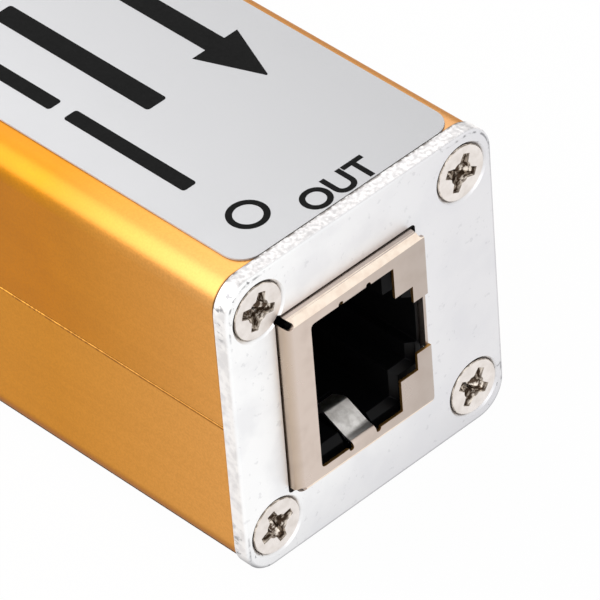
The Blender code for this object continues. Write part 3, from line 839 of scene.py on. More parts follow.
# Bead blasted and anodised aluminium: a dyed metal sheen under a clear hard oxide. The blasted
# skin is a fine even grain, and the extrusion leaves faint lines along the case.
BLASTED = Grain(0.16, 3.0)
SEAM_HEIGHT = 13.5
# A dark brown for painted shade on the case: its lowest edge and the line beside the plates.
PAINTED_SHADE_BROWN = "#1F1206"
SEAM_BREAKS = Fade(
    Grain(0.35, 3.0, (1.0, 0.1, 0.1)), 0.46, 0.56, Fade(FROM_MIDDLE, 12.0, 34.0, 0.0, 0.8), 0.9
)
ANODISED_GOLD = Finish(
    "anodised_aluminium_gold",
    Layers(
        "#BB7903",
        (
            (Fade(Grain(6.0), 0.35, 0.65), "#C37F0A"),
            # Painted reflection: the lower half is painted a shade paler from the seam down, where the
            # side mirrors more of the bright floor.
            (Fade(HEIGHT, 13.65, 13.55, 0.0, 0.7), "#D1943E"),
            # Painted light: the case is painted paler towards the ends, a pale veil of light beside the
            # plates.
            (Fade(FROM_MIDDLE, 22.0, 42.0, 0.0, 0.8), "#E2A864"),
            # Painted shade: a dark line along the lowest edge, where the rounding mirrors the floor's
            # contact shadow.
            (Fade(HEIGHT, 1.3, 2.6, 1.0, 0.0), PAINTED_SHADE_BROWN),
            # Painted shadow: a dark line on the case beside the plate's edge, mostly on the upper corners,
            # for the shaded gap between them.
            (Fade(FROM_MIDDLE, 39.86, 39.98, 0.0, Fade(HEIGHT, 16.0, 22.0, 0.25, 0.9)), PAINTED_SHADE_BROWN),
            # Dust closes the seam in places, and altogether towards the ends.
            (Fade(distance(HEIGHT, SEAM_HEIGHT), 0.12, 0.16, SEAM_BREAKS, 0.0), "#8C5B15"),
            # The far upper edge turns a duller, greyer tone.
            (Fade(ACROSS, 8.8, 10.8, 0.0, Fade(HEIGHT, 24.2, 25.4, 0.0, 0.75)), "#A07E60"),
            (Fade(Grain(0.5, 2.0, (0.03, 1.0, 1.0)), 0.3, 0.7, 0.0, 0.06), "#8A5214"),
            (Fade(BLASTED, 0.35, 0.65, 0.17, 0.0), "#7A4A10"),
        ),
    ),
    Fade(BLASTED, 0.3, 0.7, 0.33, 0.41),
    (BLASTED, 0.006, 0.5),
    METAL
    | {"Coat Weight": 0.28, "Coat Roughness": 0.25, "Coat IOR": 1.5, "Specular Tint": "#FFC070"},
)

# Painted shade along the case's lower edges, where they turn underneath and mirror the floor's contact
# shadow: dark, dull and a little uneven.
LOWER_EDGE_SHADE = Finish(
    "bench_worn_lower_edge",
    Layers("#31200B", ((Fade(Grain(0.8, 3.0), 0.4, 0.65), "#432C0F"),)),
    0.85,
    values={"Specular IOR Level": 0.05},
)

# Die cut aluminium sheet, tumbled bright: a soft white metal with grey nicks. The die leaves the
# cut edge a mottled grey, and only the face is bright.
TUMBLED_CLOUD = Grain(3.5, 4.0)
SPECK = Grain(0.55, 3.0)
# A dark grey for the plate's knocks, and for its painted shade along the edges.
DENT_AND_SHADE_GREY = "#6F6F73"
# The roundings of the plate's corners begin this far from its middle line, below this height for
# the lower ones and above this one for the upper ones.
CORNER_SIDE = 10.45
LOWER_CORNER = 2.6
UPPER_CORNER = 24.0
PLATE_MIDDLE = 13.3
FROM_CENTRE = Worked(Step.PLUS, FROM_SIDES, distance(HEIGHT, PLATE_MIDDLE))
PAST_SIDE = excess(FROM_SIDES, CORNER_SIDE)
FROM_UPPER_CORNER = length(PAST_SIDE, excess(HEIGHT, UPPER_CORNER))
FROM_LOWER_CORNER = length(PAST_SIDE, excess(LOWER_CORNER, HEIGHT))
KNOCKS = Grain(0.5, 5.0, (0.6, 1.0, 1.0))
OUTLINE = Fade(FROM_CENTRE, 20.5, 23.5, 0.0, 0.8)
# Painted shade round the upper corners, broken up, at the radius where the face meets the rim.
CORNER_CONTOUR_SHADE = Fade(FROM_CENTRE, 21.0, 23.0, 0.0, Fade(Grain(0.8, 4.0), 0.48, 0.6, 0.0, 0.75))
CONTOUR_RADIUS = 2.33
# Mottled share of the painted shade on the plate's upper edge.
TOP_RIM_SHADE = Fade(Grain(0.35, 5.0), 0.4, 0.62, 0.68, 1.0)
# Uneven share of the painted shade in the gap beside the label.
LABEL_GAP_SHADE = Fade(HEIGHT, 26.2, 26.4, 0.0, Fade(Grain(0.4, 3.0), 0.45, 0.55, 0.1, 0.9))
CUT_EDGE = Layers(
    "#F3F0EE",
    (
        (Fade(Grain(0.7, 4.0), 0.4, 0.62), "#E0DDDC"),
        (Fade(KNOCKS, 0.57, 0.66, 0.0, OUTLINE), DENT_AND_SHADE_GREY),
        # Painted shade: the upper edge is painted a darker, mottled grey than the sides.
        (Fade(HEIGHT, 26.1, 26.4, 0.0, TOP_RIM_SHADE), "#A3A1A1"),
        # Painted shade: an uneven dark line along the back edge, beside the label, for the shaded gap
        # there.
        (Fade(FROM_MIDDLE, 40.22, 40.4, LABEL_GAP_SHADE, 0.0), "#4B423B"),
    ),
)
BARE_ALUMINIUM = Finish(
    "tumbled_bare_aluminium",
    Layers(
        "#FFFFFF",
        (
            # Painted shade: the plate is painted brightest on one side and darker towards the other, away
            # from the key lamp.
            (Fade(ACROSS, -11.0, 9.0), "#E9E8EA"),
            # Painted shade: darker towards the bottom, where the plate mirrors the floor's shadow.
            (Fade(HEIGHT, 0.5, 5.0, 0.35, 0.0), "#C4C4C8"),
            (Fade(TUMBLED_CLOUD, 0.46, 0.66, 0.0, 0.3), "#DEDEE2"),
            (Fade(SPECK, 0.65, 0.71, 0.0, 0.18), "#A4A4A9"),
            # Small knocks gather along the plate's outline.
            (Fade(KNOCKS, 0.64, 0.69, 0.0, OUTLINE), DENT_AND_SHADE_GREY),
            # Painted shade: broken dark lines round the upper corners, where the face turns into the
            # rounded rim.
            (Fade(distance(FROM_UPPER_CORNER, CONTOUR_RADIUS), 0.03, 0.12, CORNER_CONTOUR_SHADE, 0.0), DENT_AND_SHADE_GREY),
            (Fade(FROM_MIDDLE, 41.25, 41.42, 1.0, 0.0), CUT_EDGE),
            # Painted shade: the lowest edge and the far one are darkened, where the rounding mirrors the
            # floor's contact shadow.
            (Fade(FROM_LOWER_CORNER, 2.25, 2.5, 0.0, Fade(HEIGHT, 1.0, 2.3, 0.9, 0.0)), DENT_AND_SHADE_GREY),
            (Fade(ACROSS, 12.75, 13.0, 0.0, 0.6), DENT_AND_SHADE_GREY),
        ),
    ),
    Fade(TUMBLED_CLOUD, 0.3, 0.7, 0.36, 0.48),
    (Worked(Step.TIMES, Worked(Step.PLUS, Grain(0.18, 3.0), SPECK), 0.5), 0.02, 0.25),
    METAL,
)

# Nickel plated steel, cold headed: warm, fairly bright and slightly rippled.
PLATING_CLOUD = Grain(0.9, 3.0)
NICKEL_STEEL = Finish(
    "nickel_plated_steel",
    Layers("#F0E9E4", ((Fade(PLATING_CLOUD, 0.4, 0.7, 0.0, 0.35), "#C6BCB3"),)),
    Fade(PLATING_CLOUD, 0.3, 0.7, 0.26, 0.4),
    (Grain(0.25), 0.01, 0.25),
    METAL,
)

# Plated steel inside the screw's recess: a brown film of oil and painted shade, with bright scratches.
RIBS = Grain(0.5, 2.0, (2.5, 1.0, 1.0))
RECESS_OIL_AND_SHADE = Finish(
    "oiled_screw_recess",
    Layers(
        "#55463A",
        (
            (Fade(RIBS, 0.47, 0.6), "#E6DCD0"),
            # The walls are painted bright near the head's face, so the film and its painted shade stay in
            # the bottom.
            (Fade(FROM_MIDDLE, 41.25, 41.45, 0.0, 0.4), "#E6DCD0"),
        ),
    ),
    Fade(RIBS, 0.3, 0.7, 0.5, 0.35),
    (RIBS, 0.05, 0.6),
    METAL,
)

# Nickel plated brass sheet, stamped and folded: satin, with a faint warm tint.
SHEET_CLOUD = Grain(1.6, 3.0)
PLATED_SHEET = Finish(
    "nickel_plated_sheet",
    Layers(
        "#D8C8BD",
        (
            # Painted shade: the sheet is painted a little darker from the contact side towards the latch
            # side.
            (Fade(ACROSS, -6.0, 4.0), "#C0B3AA"),
            # Painted shade: the flange on the contact side is painted a dull, brownish darker tone.
            (Fade(ACROSS, -8.45, -7.95, 0.85, 0.0), "#BFAB97"),
            (Fade(SHEET_CLOUD, 0.45, 0.7, 0.0, 0.16), "#A28F80"),
        ),
    ),
    Fade(SHEET_CLOUD, 0.3, 0.7, 0.27, 0.36),
    (Grain(0.3), 0.006, 0.2),
    METAL,
)


def worn_or_lit_sheet(name: str, tone: str, worn: str, smooth: float, rough: float) -> Finish:
    """Describe sheet where it was cut, or where light is painted on it: one tone with a fine cloudy grain.

    Args:
        name: The finish's name.
        tone: Its tone.
        worn: The tone of its cloudy spots.
        smooth: Its lowest roughness.
        rough: Its highest roughness.

    Returns:
        The finish.
    """
    cloud = Grain(0.7, 3.0)
    tones = Layers(tone, ((Fade(cloud, 0.4, 0.65), worn),))
    return Finish(name, tones, Fade(cloud, 0.3, 0.7, smooth, rough), values=METAL)


# Stamping bares the brass at the cut edges. The long folds take a painted highlight, and the fingers are
# painted brighter, as painted light from the mouth.
BARED_BRASS = worn_or_lit_sheet("bared_brass_edge", "#B98F52", "#8F6A38", 0.4, 0.5)
FOLD_HIGHLIGHT = worn_or_lit_sheet("press_polished_fold", "#FFF0DF", "#F6E3D2", 0.36, 0.46)
FINGER_LIGHT = worn_or_lit_sheet("plug_rubbed_finger", "#EEECE9", "#CBC8C4", 0.29, 0.38)

# Glass filled nylon, injection moulded: near black with a low grainy gloss.
MOULD_GRAIN = Grain(0.15)
MOULDED_BLACK = Finish(
    "moulded_black_nylon",
    Layers("#080809", ((Fade(MOULD_GRAIN, 0.3, 0.7, 0.0, 0.3), "#141417"),)),
    Fade(MOULD_GRAIN, 0.3, 0.7, 0.34, 0.46),
    (MOULD_GRAIN, 0.008, 0.3),
    {"Specular IOR Level": 0.12},
)

# Gold flashed bronze wire, smooth from drawing.
WIRE_CLOUD = Grain(0.6)
GILT_CONTACT = Finish(
    "gilt_bronze_wire",
    Layers("#E3C172", ((Fade(WIRE_CLOUD, 0.4, 0.7, 0.0, 0.3), "#B98E45"),)),
    Fade(WIRE_CLOUD, 0.3, 0.7, 0.22, 0.3),
    values=METAL,
)

# Silver polyester label film, matt laminated: a grey with a soft sheen, painted darker from one
# long edge of the film to the other as painted shade, away from the key lamp.
FILM_GRAIN = Grain(0.3)
SILVER_FILM = Finish(
    "matt_silver_film",
    Layers(
        "#D1D1D3",
        ((Fade(ACROSS, -9.0, 10.0), "#BEBEC0"), (Fade(Grain(9.0), 0.4, 0.65, 0.0, 0.2), "#C4C4C6")),
    ),
    Fade(FILM_GRAIN, 0.3, 0.7, 0.42, 0.5),
    (FILM_GRAIN, 0.002, 0.2),
)

# Screen printed black ink, thin and slightly glossy.
INK_GRAIN = Grain(0.2)
SCREEN_INK = Finish(
    "screen_printed_ink",
    Layers("#0A0A0A", ((Fade(INK_GRAIN, 0.4, 0.7, 0.0, 0.3), "#141414"),)),
    Fade(INK_GRAIN, 0.3, 0.7, 0.6, 0.75),
    values={"Specular IOR Level": 0.06},
)


def plain(name: str, tone: str, shadow: str, roughness: float, lump: float) -> Finish:
    """Describe the finish of a hidden inner piece: one tone with a fine grain of its own.

    Args:
        name: The finish's name.
        tone: Its tone.
        shadow: The tone of its darker grains.
        roughness: Its roughness.
        lump: The grain's size in millimetres.

    Returns:
        The finish.
    """
    grain = Grain(lump, 3.0)
    tones = Layers(tone, ((Fade(grain, 0.35, 0.65), shadow),))
    return Finish(name, tones, roughness, (grain, 0.01, 0.2))


GLASS_EPOXY = plain("glass_epoxy_board", "#1E5A33", "#184B2A", 0.45, 0.4)
GLAZED_CERAMIC = plain("glazed_ceramic_and_tinned_ends", "#D8D4CC", "#C6C1B8", 0.35, 0.8)
EPOXY_PACKAGE = plain("moulded_epoxy_package", "#17171A", "#101012", 0.5, 0.25)


# Sub-assemblies


@dataclass
class Case:
    """The two half shells, drawn out to meet the end plates, with a tight seam."""

    end_reach: float = 0.23 * MM
    seam_reach: float = 0.07 * MM
    seam_band: float = 1.2 * MM
    skin_depth: float = 0.5 * MM
    seam_chamfer: float = 0.12 * MM
    chamfer_kept: float = 0.05 * MM
    shade_slope: float = 0.4
    shade_side: float = 0.2
    corner: float = 2.2 * MM

    def build(self, finish: Material, lower_shade: Material) -> None:
        """Build both half shells.

        Args:
            finish: The anodised finish.
            lower_shade: The painted shade along the lower edges.
        """
        for node, up in (("upper_shell", -1.0), ("lower_shell", 1.0)):
            shell = copy_of_node(node, node.replace("_shell", "_half"))
            low, high = node_box(node)
            for end, way in ((low.x, -1), (high.x, 1)):
                step = (way * self.end_reach, 0, 0)
                move_points(shell, lambda point, end=end: abs(point.x - end) < HAIR, step)
            self.close_seam(shell, up)
            shade(shell, angle=30.0)
            dress(shell, finish)
            # The lower corners that turn underneath take painted shade.
            paint_faces(shell, lower_shade, self.is_lower_edge)
            hand_over(shell, node)

    def is_lower_edge(self, place: Vector, way: Vector) -> bool:
        """Tell whether a face belongs to the part of the lower corners that turns underneath.

        Args:
            place: The middle of the face.
            way: Its normal.

        Returns:
            Whether it does.
        """
        low = node_box("lower_shell")[0]
        in_corner = abs(place.y) > -low.y - self.corner and place.z < low.z + self.corner
        faces_out = place.y * way.y > 0 and abs(way.y) > self.shade_side
        return in_corner and faces_out and way.z < -self.shade_slope

    def close_seam(self, shell: Object, up: float) -> None:
        """Move a half shell's outer edges towards the other half.

        The extrusion's small chamfers are ground down too, so that the seam is a fine line.

        Args:
            shell: The half shell.
            up: 1 where the other half lies above, -1 where it lies below.
        """
        low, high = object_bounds()
        middle = (low[2] + high[2]) / 2
        side = node_box("upper_shell")[1].y
        ground = self.seam_chamfer - self.chamfer_kept
        foot = side - self.seam_chamfer
        moves = (
            (lambda y: abs(abs(y) - side) < self.skin_depth, (0, 0, up * self.seam_reach)),
            (lambda y: abs(abs(y) - side) < HAIR, (0, 0, up * ground)),
            (lambda y: abs(-y - foot) < HAIR, (0, -ground, 0)),
            (lambda y: abs(y - foot) < HAIR, (0, ground, 0)),
        )
        for on_line, step in moves:

            def beside_seam(point: Vector) -> bool:
                """Tell whether a point lies on the line and beside the seam."""
                return abs(point.z - middle) < self.seam_band and on_line(point.y)

            move_points(shell, beside_seam, step)


@dataclass
class ShieldSizes:
    """The outer sizes of the socket's shield, which its neighbours follow too."""

    width: float = 13.55 * MM
    height: float = 16.0 * MM
    sheet: float = 0.25 * MM
    fold: float = 0.6 * MM
    rim_near: float = 2.26 * MM
    rim_far: float = 3.16 * MM
    rim_side: float = 1.35 * MM
    step_width: float = 1.75 * MM
    step_height: float = 7.8 * MM
    slot_height: float = 4.8 * MM

    def outside(self) -> Corners:
        """Give the shield's outer corners, without its tabs."""
        low, high = node_box("jack_shield_out")
        return low, Vector((high.x, low.y + self.width, high.z))

    def mouth(self) -> Triple:
        """Give the places across of the mouth's edges.

        Returns:
            Its near edge, its step and its slot's end.
        """
        low, high = self.outside()
        step = high.y - self.rim_far
        return low.y + self.rim_near, step, step + self.step_width

    def middle(self) -> Vector:
        """Give the middle of the shield's front face."""
        low, high = self.outside()
        return Vector((high.x, (low.y + high.y) / 2, (low.z + high.z) / 2))


@dataclass
class EndPlate:
    """A bare aluminium plate with rounded corners, a socket window and four countersinks."""

    corner: float = 2.6 * MM
    rim_round: float = 0.28 * MM
    back_round: float = 0.1 * MM
    back_reach: float = 0.17 * MM
    window_gap: float = 0.14 * MM
    window_round: float = 0.35 * MM
    seat_gap: float = 0.27 * MM
    shank_hole: float = 2.6 * MM
    edge_round: float = 0.05 * MM

    def build(self, shield: ShieldSizes, head: float, finish: Material) -> None:
        """Build both end plates.

        Args:
            shield: The socket shield's sizes, which the window follows.
            head: The diameter of the screws' heads.
            finish: The aluminium finish.
        """
        low, high = node_box("end_plate_out")
        back, front = low.x - self.back_reach, high.x
        plate = block("plate_out", (back, low.y, low.z), high)
        bevel(plate, self.corner, 14, axis=Axis.X)
        bevel(plate, self.rim_round, 4, lambda point: point.x > front - TOUCH)
        bevel(plate, self.back_round, 2, lambda point: point.x < back + TOUCH)
        cut(plate, self.window(shield, back, front), *self.countersinks(head, back, front))
        soften(plate, self.edge_round)
        dress(plate, finish)
        hand_over_pair(plate, "end_plate_out")

    def window(self, shield: ShieldSizes, back: float, front: float) -> Object:
        """Make the cutter of the socket's window.

        Args:
            shield: The socket shield's sizes.
            back: The plate's back face along X.
            front: The plate's front face along X.

        Returns:
            The cutter.
        """
        low, high = shield.outside()
        gap = self.window_gap
        near = (back - MM, low.y - gap, low.z - gap)
        window = block("window", near, (front + MM, high.y + gap, high.z + gap))
        bevel(window, self.window_round, 5, axis=Axis.X)
        return window

    def countersinks(self, head: float, back: float, front: float) -> list[Object]:
        """Make the cutters of the four countersunk holes.

        Args:
            head: The diameter of the screws' heads.
            back: The plate's back face along X.
            front: The plate's front face along X.

        Returns:
            The cutters, each a cone with its straight neck.
        """
        cutters = []
        neck = self.shank_hole / 2
        steps = [(MM, 1.0), (front - back, (head / 2 + self.seat_gap) / neck), (MM, 1.0)]
        for number in range(1, 5):
            low, high = node_box(f"plate_screw_out_{number}")
            start = Vector((back - MM, (low.y + high.y) / 2, (low.z + high.z) / 2))
            cutters.append(turned_form("countersink", 56, neck, start, steps))
        return cutters


@dataclass
class PlateScrews:
    """Countersunk screws with cross recesses, each left at the turn the photograph shows.

    Sizes without MM are shares of the recess's, and the turns are in degrees.
    """

    head: float = 4.5 * MM
    head_round: float = 0.1 * MM
    rim: float = 0.16 * MM
    shank: float = 2.3 * MM
    length: float = 8.0 * MM
    tip: float = 0.6 * MM
    tip_share: float = 0.5
    cone: float = 1.2 * MM
    sink: float = 0.02 * MM
    recess_span: float = 3.1 * MM
    recess_width: float = 1.0 * MM
    recess_depth: float = 1.15 * MM
    blade_over: float = 0.05 * MM
    prong_width: float = 0.7
    prong_depth: float = 0.35
    floor_depth: float = 0.9
    floor_width: float = 0.6
    core: float = 1.0 * MM
    core_tip: float = 0.4
    core_length: float = 1.15
    core_middle: float = 0.55
    core_turn: float = 15.0
    oil_and_shade_length: float = 1.3
    oil_and_shade_from: float = 0.02 * MM
    oil_and_shade_mouth: float = 0.05 * MM
    shaded_rim: float = 0.07 * MM
    edge_round: float = 0.05 * MM
    turns: tuple[float, ...] = (19.0, 72.0, 57.0, 66.0)

    def build(self, finish: Material, oil_and_shade: Material) -> None:
        """Build the four screws of each end.

        Args:
            finish: The nickel finish.
            oil_and_shade: The finish of the recess and the head's rim: oil film and painted shade.
        """
        for number, turn in enumerate(self.turns, 1):
            node = f"plate_screw_out_{number}"
            low, high = node_box(node)
            middle = Vector((high.x - self.sink, (low.y + high.y) / 2, (low.z + high.z) / 2))
            straight = self.length - self.rim - self.cone - self.tip
            steps = [
                (-self.rim, 1.0),
                (-self.cone, self.shank / self.head),
                (-straight, 1.0),
                (-self.tip, self.tip_share),
            ]
            screw = turned_form(f"screw_out_{number}", 64, self.head / 2, middle, steps)
            bevel(screw, self.head_round, 3, lambda point, face=middle.x: point.x > face - TOUCH)
            cut(screw, *self.recess(middle, turn))
            soften(screw, self.edge_round, angle=30.0)
            dress(screw, finish)
            # The recess takes its oil film with painted shade, and the head's rim painted shade for the
            # dark gap beside the countersink.
            paint_faces(screw, oil_and_shade, lambda place, way, at=middle: self.in_oil_and_shade(place, at))
            hand_over_pair(screw, node)

    def in_oil_and_shade(self, place: Vector, middle: Vector) -> bool:
        """Tell whether a face's middle lies inside a screw's recess, or on the head's rim, which takes
        painted shade for the gap beside the countersink.

        Args:
            place: The middle of the face.
            middle: The middle of the head's face.

        Returns:
            Whether it is one of the recess's walls or floors, or of the rim.
        """
        across = Vector((place.y - middle.y, place.z - middle.z)).length
        depth = middle.x - place.x
        bright_from = self.recess_span / 2 + self.oil_and_shade_mouth
        bright = bright_from < across < self.head / 2 - self.shaded_rim
        return self.oil_and_shade_from < depth < self.recess_depth * self.oil_and_shade_length and not bright

    def recess(self, middle: Vector, turn: float) -> list[Object]:
        """Make the cutters of a cross recess.

        Args:
            middle: The middle of the head's face.
            turn: The recess's turn about X in degrees.

        Returns:
            Two tapered blades and the cone where they meet.
        """
        cutters = []
        half = Vector((0, self.recess_width / 2, self.core / 2))
        deep, over = Vector((self.recess_depth, 0, 0)), Vector((self.blade_over, 0, 0))
        floor = middle.x - self.recess_depth * self.prong_depth * self.floor_depth
        for quarter in (0.0, 90.0):
            blade = block("blade", middle - half - deep, middle + half + over)
            for way in (-1, 1):
                end = middle.z + way * half.z
                pick(blade, Part.FACES, lambda point, end=end: abs(point.z - end) < TOUCH)
                extrude((0, 0, way * (self.recess_span / 2 - half.z)))
                resize_picked((self.prong_depth, self.prong_width, 1.0), middle)
            pick(blade, Part.POINTS, lambda point: point.x < floor)
            resize_picked((1.0, self.floor_width, 1.0), middle)
            bpy.ops.object.mode_set(mode="OBJECT")
            close_up(blade)
            cutters.append(turned(blade, middle, turn + quarter, Axis.X))
        clear_selection()
        bpy.ops.mesh.primitive_cone_add(
            vertices=12,
            radius1=self.core,
            radius2=self.core * self.core_tip,
            depth=self.recess_depth * self.core_length,
            location=middle - Vector((self.recess_depth * self.core_middle, 0, 0)),
            rotation=(0, -math.pi / 2, 0),
        )
        cutters.append(turned(settle("core"), middle, turn + self.core_turn, Axis.X))
        return cutters


@dataclass
class Shield:
    """The folded sheet shield with its stepped mouth and spring fingers."""

    sizes: ShieldSizes
    mouth_chamfer: float = 0.35 * MM
    relief_width: float = 0.62 * MM
    relief_reach: float = 0.55 * MM
    relief_round: float = 0.96
    latch_relief_reach: float = 0.12 * MM
    latch_relief_depth: float = 1.6 * MM
    latch_corner: float = 0.85 * MM
    latch_corner_depth: float = 0.2 * MM
    finger_width: float = 2.2 * MM
    finger_shift: float = -0.2 * MM
    finger_root: float = 0.15 * MM
    finger_spare: float = 0.15 * MM
    finger_bend: float = 0.2 * MM
    root_slope: float = 12.0
    root_flat: float = 0.3 * MM
    root_sweep: float = 1.6 * MM
    root_overlap: float = 0.1 * MM
    finger_slope: float = 27.0
    finger_straight: float = 2.0 * MM
    finger_crest: float = 0.3 * MM
    tip_slope: float = 24.0
    finger_tip: float = 1.2 * MM
    notch: float = 0.5 * MM
    notch_depth: float = 0.28 * MM
    tab_width: float = 1.6 * MM
    tab_setback: float = 9.5 * MM
    latch_wall: float = 2.2 * MM
    latch_spare: float = 0.3 * MM
    latch_sink: float = 0.005 * MM
    edge_round: float = 0.045 * MM
    latch_over: float = 2.0 * MM
    hollow_over: float = 4.0 * MM
    wear_half: float = 7.2 * MM
    bared_past: float = 0.2 * MM
    bared_behind: float = 0.03 * MM
    bared_turn: float = 0.3
    fold_spare: float = 0.02 * MM
    fold_turns: tuple[float, float] = (0.15, 0.98)
    fold_front: float = 0.1
    fold_side: float = 0.2
    lit_finger_spare: float = 0.2 * MM
    lit_finger_from: float = 0.5 * MM
    lit_finger_to: float = 6.0 * MM

    def build(self, finish: Material) -> None:
        """Build both shields.

        Args:
            finish: The plated sheet finish.
        """
        # The cut edges take bared brass, the long folds a painted highlight and the fingers painted light.
        worn = [one.material() for one in (BARED_BRASS, FOLD_HIGHLIGHT, FINGER_LIGHT)]
        low, high = self.sizes.outside()
        sheet = Vector([self.sizes.sheet] * 3)
        over = Vector((0, self.latch_over, 0))
        shield = self.folded("shield_out", low, high + over, self.sizes.fold)
        far = Vector((high.x - sheet.x, high.y + self.hollow_over, high.z - sheet.z))
        inner = self.folded("hollow", low + sheet, far, self.sizes.fold - sheet.x)
        near = (low.x - MM, high.y, low.z - MM)
        past = block("past", near, high + Vector((MM, self.hollow_over, MM)))
        cut(shield, inner, past)
        cut(shield, *self.mouth_cutters(), *self.relief_cutters())
        self.round_latch_corner(shield)
        for side in (-1, 1):
            self.bend_finger(shield, side)
        extras = (*self.tabs(), self.latch_strip())
        focus(shield)
        for extra in extras:
            extra.select_set(True)
        bpy.ops.object.join()
        soften(shield, self.edge_round)
        dress(shield, finish)
        for material, wanted in zip(worn, self.worn_or_lit_places()):
            paint_faces(shield, material, wanted)
        hand_over_pair(shield, "jack_shield_out")

    def folded(self, name: str, low: Vector, high: Vector, radius: float) -> Object:
        """Make a box whose front edges are rounded as folds, except on the latch side.

        Args:
            name: The box's name.
            low: Its lowest corner.
            high: Its highest corner.
            radius: The folds' radius.

        Returns:
            The box.
        """
        shape = block(name, low, high)
        front, latch = high.x - TOUCH, high.y - TOUCH
        bevel(shape, radius, 6, lambda point: point.x > front, spared=lambda point: point.y > latch)
        return shape

    def mouth_cutters(self) -> list[Object]:
        """Make the cutters of the stepped mouth and of the notches beside the fingers.

        Returns:
            The cutters.
        """
        low, high = self.sizes.outside()
        near, step, slot = self.sizes.mouth()
        middle = self.sizes.middle()
        front, back = high.x + MM, high.x - MM
        half = self.sizes.height / 2 - self.sizes.rim_side
        opening = block("opening", (back, near, middle.z - half), (front, step, middle.z + half))
        bevel(opening, self.mouth_chamfer, 3, lambda point: point.y < near + TOUCH, Axis.X)
        cutters = [opening]
        spans = ((slot, self.sizes.step_height), (high.y + MM, self.sizes.slot_height))
        for reach, height in spans:
            start = (back, step - MM, middle.z - height / 2)
            cutters.append(block("step", start, (front, reach, middle.z + height / 2)))
        tongue = (self.finger_width + self.notch) / 2
        y = middle.y + self.finger_shift
        for side in (-1, 1):
            edge = middle.z + side * half
            notch_z = edge + side * (self.notch_depth - self.notch / 2)
            for hand in (-1, 1):
                place = Vector((high.x, y + hand * tongue, notch_z))
                cutters.append(round_bar("notch", 20, self.notch / 2, THROUGH, place))
            under, over = sorted((edge - side * self.root_overlap, edge + side * self.finger_root))
            cutters.append(block("root", (back, y - tongue, under), (front, y + tongue, over)))
        return cutters

    def relief_cutters(self) -> list[Object]:
        """Make the cutters of the slits that free the folds at three corners of the face.

        Returns:
            The cutters, each a slanted slit with a round end.
        """
        low, high = self.sizes.outside()
        half = self.relief_width / 2
        through = low.x - MM
        slits = (
            (low.y, low.z, self.relief_reach, through, 45.0),
            (low.y, high.z, self.relief_reach, through, -45.0),
            (high.y, high.z, self.latch_relief_reach, high.x - self.latch_relief_depth, -135.0),
        )
        cutters = []
        for y, z, reach, back, turn in slits:
            tip = y + reach + half
            slit = block("relief", (back, y - MM, z - half), (high.x + MM, tip, z + half))
            bevel(slit, half * self.relief_round, 8, lambda point, tip=tip: point.y > tip - TOUCH, Axis.X)
            cutters.append(turned(slit, Vector((high.x, y, z)), turn, Axis.X))
        return cutters

    def round_latch_corner(self, shield: Object) -> None:
        """Round the lower corner of the face on the latch side.

        Args:
            shield: The shield.
        """
        low, high = self.sizes.outside()
        radius = self.latch_corner
        near = (high.x - self.latch_corner_depth, high.y - radius, low.z - MM)
        clip = block("clip", near, (high.x + MM, high.y + MM, low.z + radius))
        place = Vector((high.x, high.y - radius, low.z + radius))
        cut(clip, round_bar("keep", 40, radius, 2 * THROUGH, place))
        cut(shield, clip)

    def bend_finger(self, shield: Object, side: int) -> None:
        """Bend a spring finger out of the sheet between its two notches.

        The cut end of the sheet is spun round the bend, drawn out flat, swept up, drawn out straight,
        spun over the crest and drawn out once more.

        Args:
            shield: The shield.
            side: 1 for the mouth's upper edge, -1 for the lower one.
        """
        front = self.sizes.outside()[1].x
        middle = self.sizes.middle()
        sheet = self.sizes.sheet
        root = middle.z + side * (self.sizes.height / 2 - self.sizes.rim_side + self.finger_root)
        y = middle.y + self.finger_shift

        def at_root(point: Vector) -> bool:
            """Tell whether a point is a corner of the cut end between the notches."""
            near = abs(point.z - root) < HAIR and point.x > front - 2 * sheet
            return near and abs(point.y - y) < self.finger_width / 2 + self.finger_spare

        slopes = [math.radians(value) for value in (self.root_slope, self.finger_slope, -self.tip_slope)]
        runs = [Vector((-math.cos(slope), 0, -side * math.sin(slope))) for slope in slopes]
        walls = [Vector((-math.sin(slope), 0, side * math.cos(slope))) for slope in slopes]
        half = sheet / 2
        bend = Vector((front - sheet - self.finger_bend, y, root))
        flat_end = bend - walls[0] * (self.finger_bend + half) + runs[0] * self.root_flat
        sweep = flat_end - walls[0] * (self.root_sweep + half)
        straight_end = sweep + walls[1] * (self.root_sweep + half) + runs[1] * self.finger_straight
        crest = straight_end + walls[1] * (self.finger_crest + half)
        bends = (
            (8, -side * (math.pi / 2 - slopes[0]), bend, runs[0] * self.root_flat),
            (6, side * (slopes[1] - slopes[0]), sweep, runs[1] * self.finger_straight),
            (8, -side * (slopes[1] - slopes[2]), crest, runs[2] * self.finger_tip),
        )
        pick(shield, Part.FACES, at_root)
        for steps, angle, centre, run in bends:
            bpy.ops.mesh.spin(steps=steps, angle=angle, center=centre, axis=(0, 1, 0))
            extrude(run)
        bpy.ops.object.mode_set(mode="OBJECT")
        close_up(shield)

    def worn_or_lit_places(self) -> tuple[FaceTest, FaceTest, FaceTest]:
        """Give the tests of the faces that are bared, and of those that take painted light: the folds'
        highlight and the fingers' brightening.

        Returns:
            The tests for the front sheet's cut edges, its upper and lower folds, and the fingers
            behind their roots.
        """
        low, high = self.sizes.outside()
        middle = self.sizes.middle()
        back = high.x - self.sizes.sheet - HAIR
        folds_end = low.y + self.sizes.rim_near - self.bared_past
        fold_start = high.x - self.sizes.fold - self.fold_spare
        least, most = self.fold_turns
        finger_y = middle.y + self.finger_shift
        finger_half = self.finger_width / 2 + self.lit_finger_spare

        def in_mouth(place: Vector) -> bool:
            """Tell whether a place lies between the upper and the lower fold."""
            return abs(place.z - middle.z) < self.wear_half

